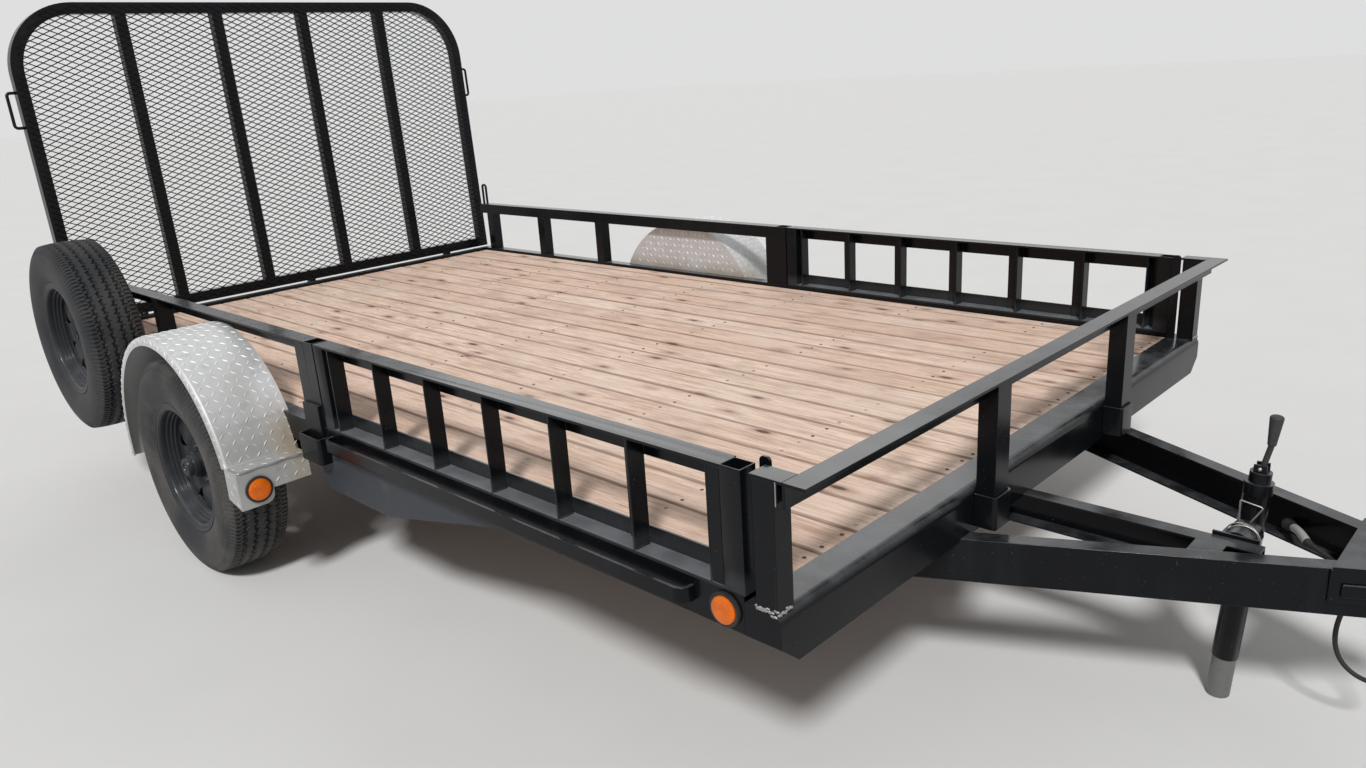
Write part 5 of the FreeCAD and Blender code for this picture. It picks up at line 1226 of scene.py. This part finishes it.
# %% Deck boards
BOARD_PITCH = 117.0
BOARD_GAP = 3.0
BOARD_THICK = 38.0
JOINT_REACH = 4.0
DECK_TOP = 536.0
DECK_ENDS = (-1474.0, 2114.0)
DECK_HALF = 1000.0
EDGE_ROUND = 4.0
STATIONS = 41
BOARDS_A_SIDE = math.ceil(DECK_HALF / BOARD_PITCH)
NEAR_JOINT = (1.0,) * 5 + (0.0,) * 4 + (1.0,) * 5


def board_section(y0, y1):
    """The outline of one board's cross-section, with quarter-round upper edges."""
    turn = np.linspace(0, np.pi / 2, 4)
    r = EDGE_ROUND
    left = [(y0 + r - r * np.cos(t), DECK_TOP - r + r * np.sin(t)) for t in turn]
    right = [(y1 - r + r * np.sin(t), DECK_TOP - r + r * np.cos(t)) for t in turn]
    inner = (y0 + r + JOINT_REACH, y1 - r - JOINT_REACH)
    middle = [(inner[0] + (inner[1] - inner[0]) * k, DECK_TOP) for k in (0.0, 0.33, 0.67, 1.0)]
    return np.array([(y0, DECK_TOP - BOARD_THICK)] + left + middle + right + [(y1, DECK_TOP - BOARD_THICK)])


def board_grid(y0, y1, stations, rng):
    """The section carried along X: its top sinks and its sides sway by slow sines of their own."""
    section = board_section(y0, y1)
    wave = rng.uniform(0.4, 1.2) * np.sin(stations / rng.uniform(380, 900) + rng.uniform(0, 6))
    sway = 0.5 * np.sin(stations / rng.uniform(500, 1100) + rng.uniform(0, 6))
    z = section[:, 1] + (wave - 1.2) * (section[:, 1] > DECK_TOP - 10)
    return np.stack(np.broadcast_arrays(stations, section[:, 0] + sway * 0.6, z), -1)


def make_deck():
    """All boards as one piece, closed at the ends."""
    rng = np.random.default_rng(7)
    stations = np.linspace(DECK_ENDS[0] + 0.5, DECK_ENDS[1] - 0.5, STATIONS)[:, None]
    grids, numbers = [], []
    for side in (-1, 1):
        for i in range(BOARDS_A_SIDE):
            outer = min((i + 1) * BOARD_PITCH - BOARD_GAP / 2, DECK_HALF - 1)
            y0, y1 = sorted((side * (i * BOARD_PITCH + BOARD_GAP / 2), side * outer))
            grids.append(board_grid(y0, y1, stations, rng))
            numbers.append((i + 1) * side)
    points, faces = joined(grids, wrap_columns=True)
    piece = new_piece("deck_boards", placed(points), faces, pine, "chassis", mend=False)
    marks = {"board": np.repeat(numbers, STATIONS * len(NEAR_JOINT)),
             "joint": np.tile(NEAR_JOINT, STATIONS * len(grids))}
    for name, values in marks.items():
        attribute = piece.data.attributes.new(name, "FLOAT", "POINT")
        attribute.data.foreach_set("value", values.astype(np.float32))
    edit_mesh(piece.data, close_holes, face_outward)
    sharpen(piece, 40.0)
    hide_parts("deck_planks")
    print("deck faces", len(piece.data.polygons))


make_deck()

# %% [markdown]
# Two screws hold each board at every cross member. They are driven by eye, so each is a few millimetres
# off its line. A head is a low turned form with a sunk middle, about level with the boards' tops.

# %% Screws
SCREW_ROWS = (-1455.0, -1155.0, -675.0, -195.0, 285.0, 765.0, 1245.0, 1725.0, 2097.0)
SCREW_INSET = 27.0
SCREW_DRIFT = 3.5
SCREW_SIDES = 10
SCREW_HEAD = np.array([(0.0, 534.6), (2.4, 534.6), (3.0, 535.4), (4.5, 535.2), (4.9, 533.5), (4.9, 530.0),
                       (0.0, 530.0)])


def make_screws():
    """Two heads on each board over each cross member, as copies of one form."""
    rng = np.random.default_rng(21)
    boards = np.arange(BOARDS_A_SIDE) * BOARD_PITCH
    lines = np.concatenate([boards + SCREW_INSET, boards + BOARD_PITCH - SCREW_INSET])
    lines = lines[lines < DECK_HALF - 8.0]
    x, y = np.meshgrid(SCREW_ROWS, np.concatenate([lines, -lines]), indexing="ij")
    spots = np.stack([x.ravel(), y.ravel(), np.zeros(x.size)], -1)
    spots[:, :2] += rng.uniform(-SCREW_DRIFT, SCREW_DRIFT, (len(spots), 2))
    turn = full_turn(SCREW_SIDES)
    radius, level = SCREW_HEAD[:, 0], SCREW_HEAD[:, 1]
    head = np.stack(np.broadcast_arrays(radius * np.cos(turn), radius * np.sin(turn), level), -1)
    faces = repeated(quads_of(*head.shape[:2], True), len(spots), SCREW_SIDES * len(SCREW_HEAD))
    heads = placed(head + spots[:, None, None])
    new_piece("deck_screws", heads, faces, rusty_screw, "chassis")
    print("screws", len(spots))


make_screws()

# %% [markdown]
# The studio is plain: a pale floor, a pale world, and two broad suns, so the light falls as it does on an
# open drive. The world lights the trailer softly, and only the camera and the reflections see it bright.

# %% Floor, world and lamps
SKY_COLOR = (0.735, 0.737, 0.74)
SKY_LIGHT = 0.42
FLOOR_HALF = 60.0
FLOOR_PALE, FLOOR_SHADE = (0.76, 0.755, 0.745), (0.72, 0.715, 0.705)


def studio_floor():
    """A wide pale floor."""
    corners = [(x * FLOOR_HALF, y * FLOOR_HALF, 0) for x, y in ((-1, -1), (1, -1), (1, 1), (-1, 1))]
    mesh = bpy.data.meshes.new("floor")
    mesh.from_pydata(corners, [], [(0, 1, 2, 3)])
    finish = Finish("floor", Roughness=0.9, Specular_IOR_Level=0.1)
    shade = finish.noise(2.0).ramp(0.3, 0.8) * 0.5
    mesh.materials.append(finish.connect(Base_Color=finish.mix(shade, FLOOR_PALE, FLOOR_SHADE)))
    linked("floor", mesh)


def sun(name, toward, strength, spread):
    """A broad sun that shines from a direction, its spread in degrees."""
    data = bpy.data.lights.new(name, "SUN")
    data.energy = strength
    data.angle = math.radians(spread)
    x, y, z = toward
    tilt, heading = math.atan2(math.hypot(x, y), z), math.atan2(y, x) + math.pi / 2
    linked(name, data).rotation_euler = (tilt, 0.0, heading)


def pale_world():
    """A soft sky that the camera and the reflections see at full strength."""
    world = bpy.data.worlds.new("studio")
    bpy.context.scene.world = world
    world.use_nodes = True
    tree = world.node_tree
    rays = tree.nodes.new("ShaderNodeLightPath")
    seen = tree.nodes.new("ShaderNodeMath")
    seen.operation = "MAXIMUM"
    tree.links.new(rays.outputs["Is Camera Ray"], seen.inputs[0])
    tree.links.new(rays.outputs["Is Glossy Ray"], seen.inputs[1])
    strength = tree.nodes.new("ShaderNodeMapRange")
    strength.inputs["To Min"].default_value = SKY_LIGHT
    strength.inputs["To Max"].default_value = 1.0
    tree.links.new(seen.outputs[0], strength.inputs["Value"])
    background = tree.nodes["Background"]
    background.inputs[0].default_value = (*SKY_COLOR, 1.0)
    tree.links.new(strength.outputs[0], background.inputs[1])


studio_floor()
sun("key", (4.0, -5.5, 7.0), 2.5, 9.0)
sun("fill", (-5.0, 5.0, 5.0), 0.35, 40.0)
pale_world()
bpy.context.scene.view_settings.view_transform = "Standard"
print("suns", len(bpy.data.lights))
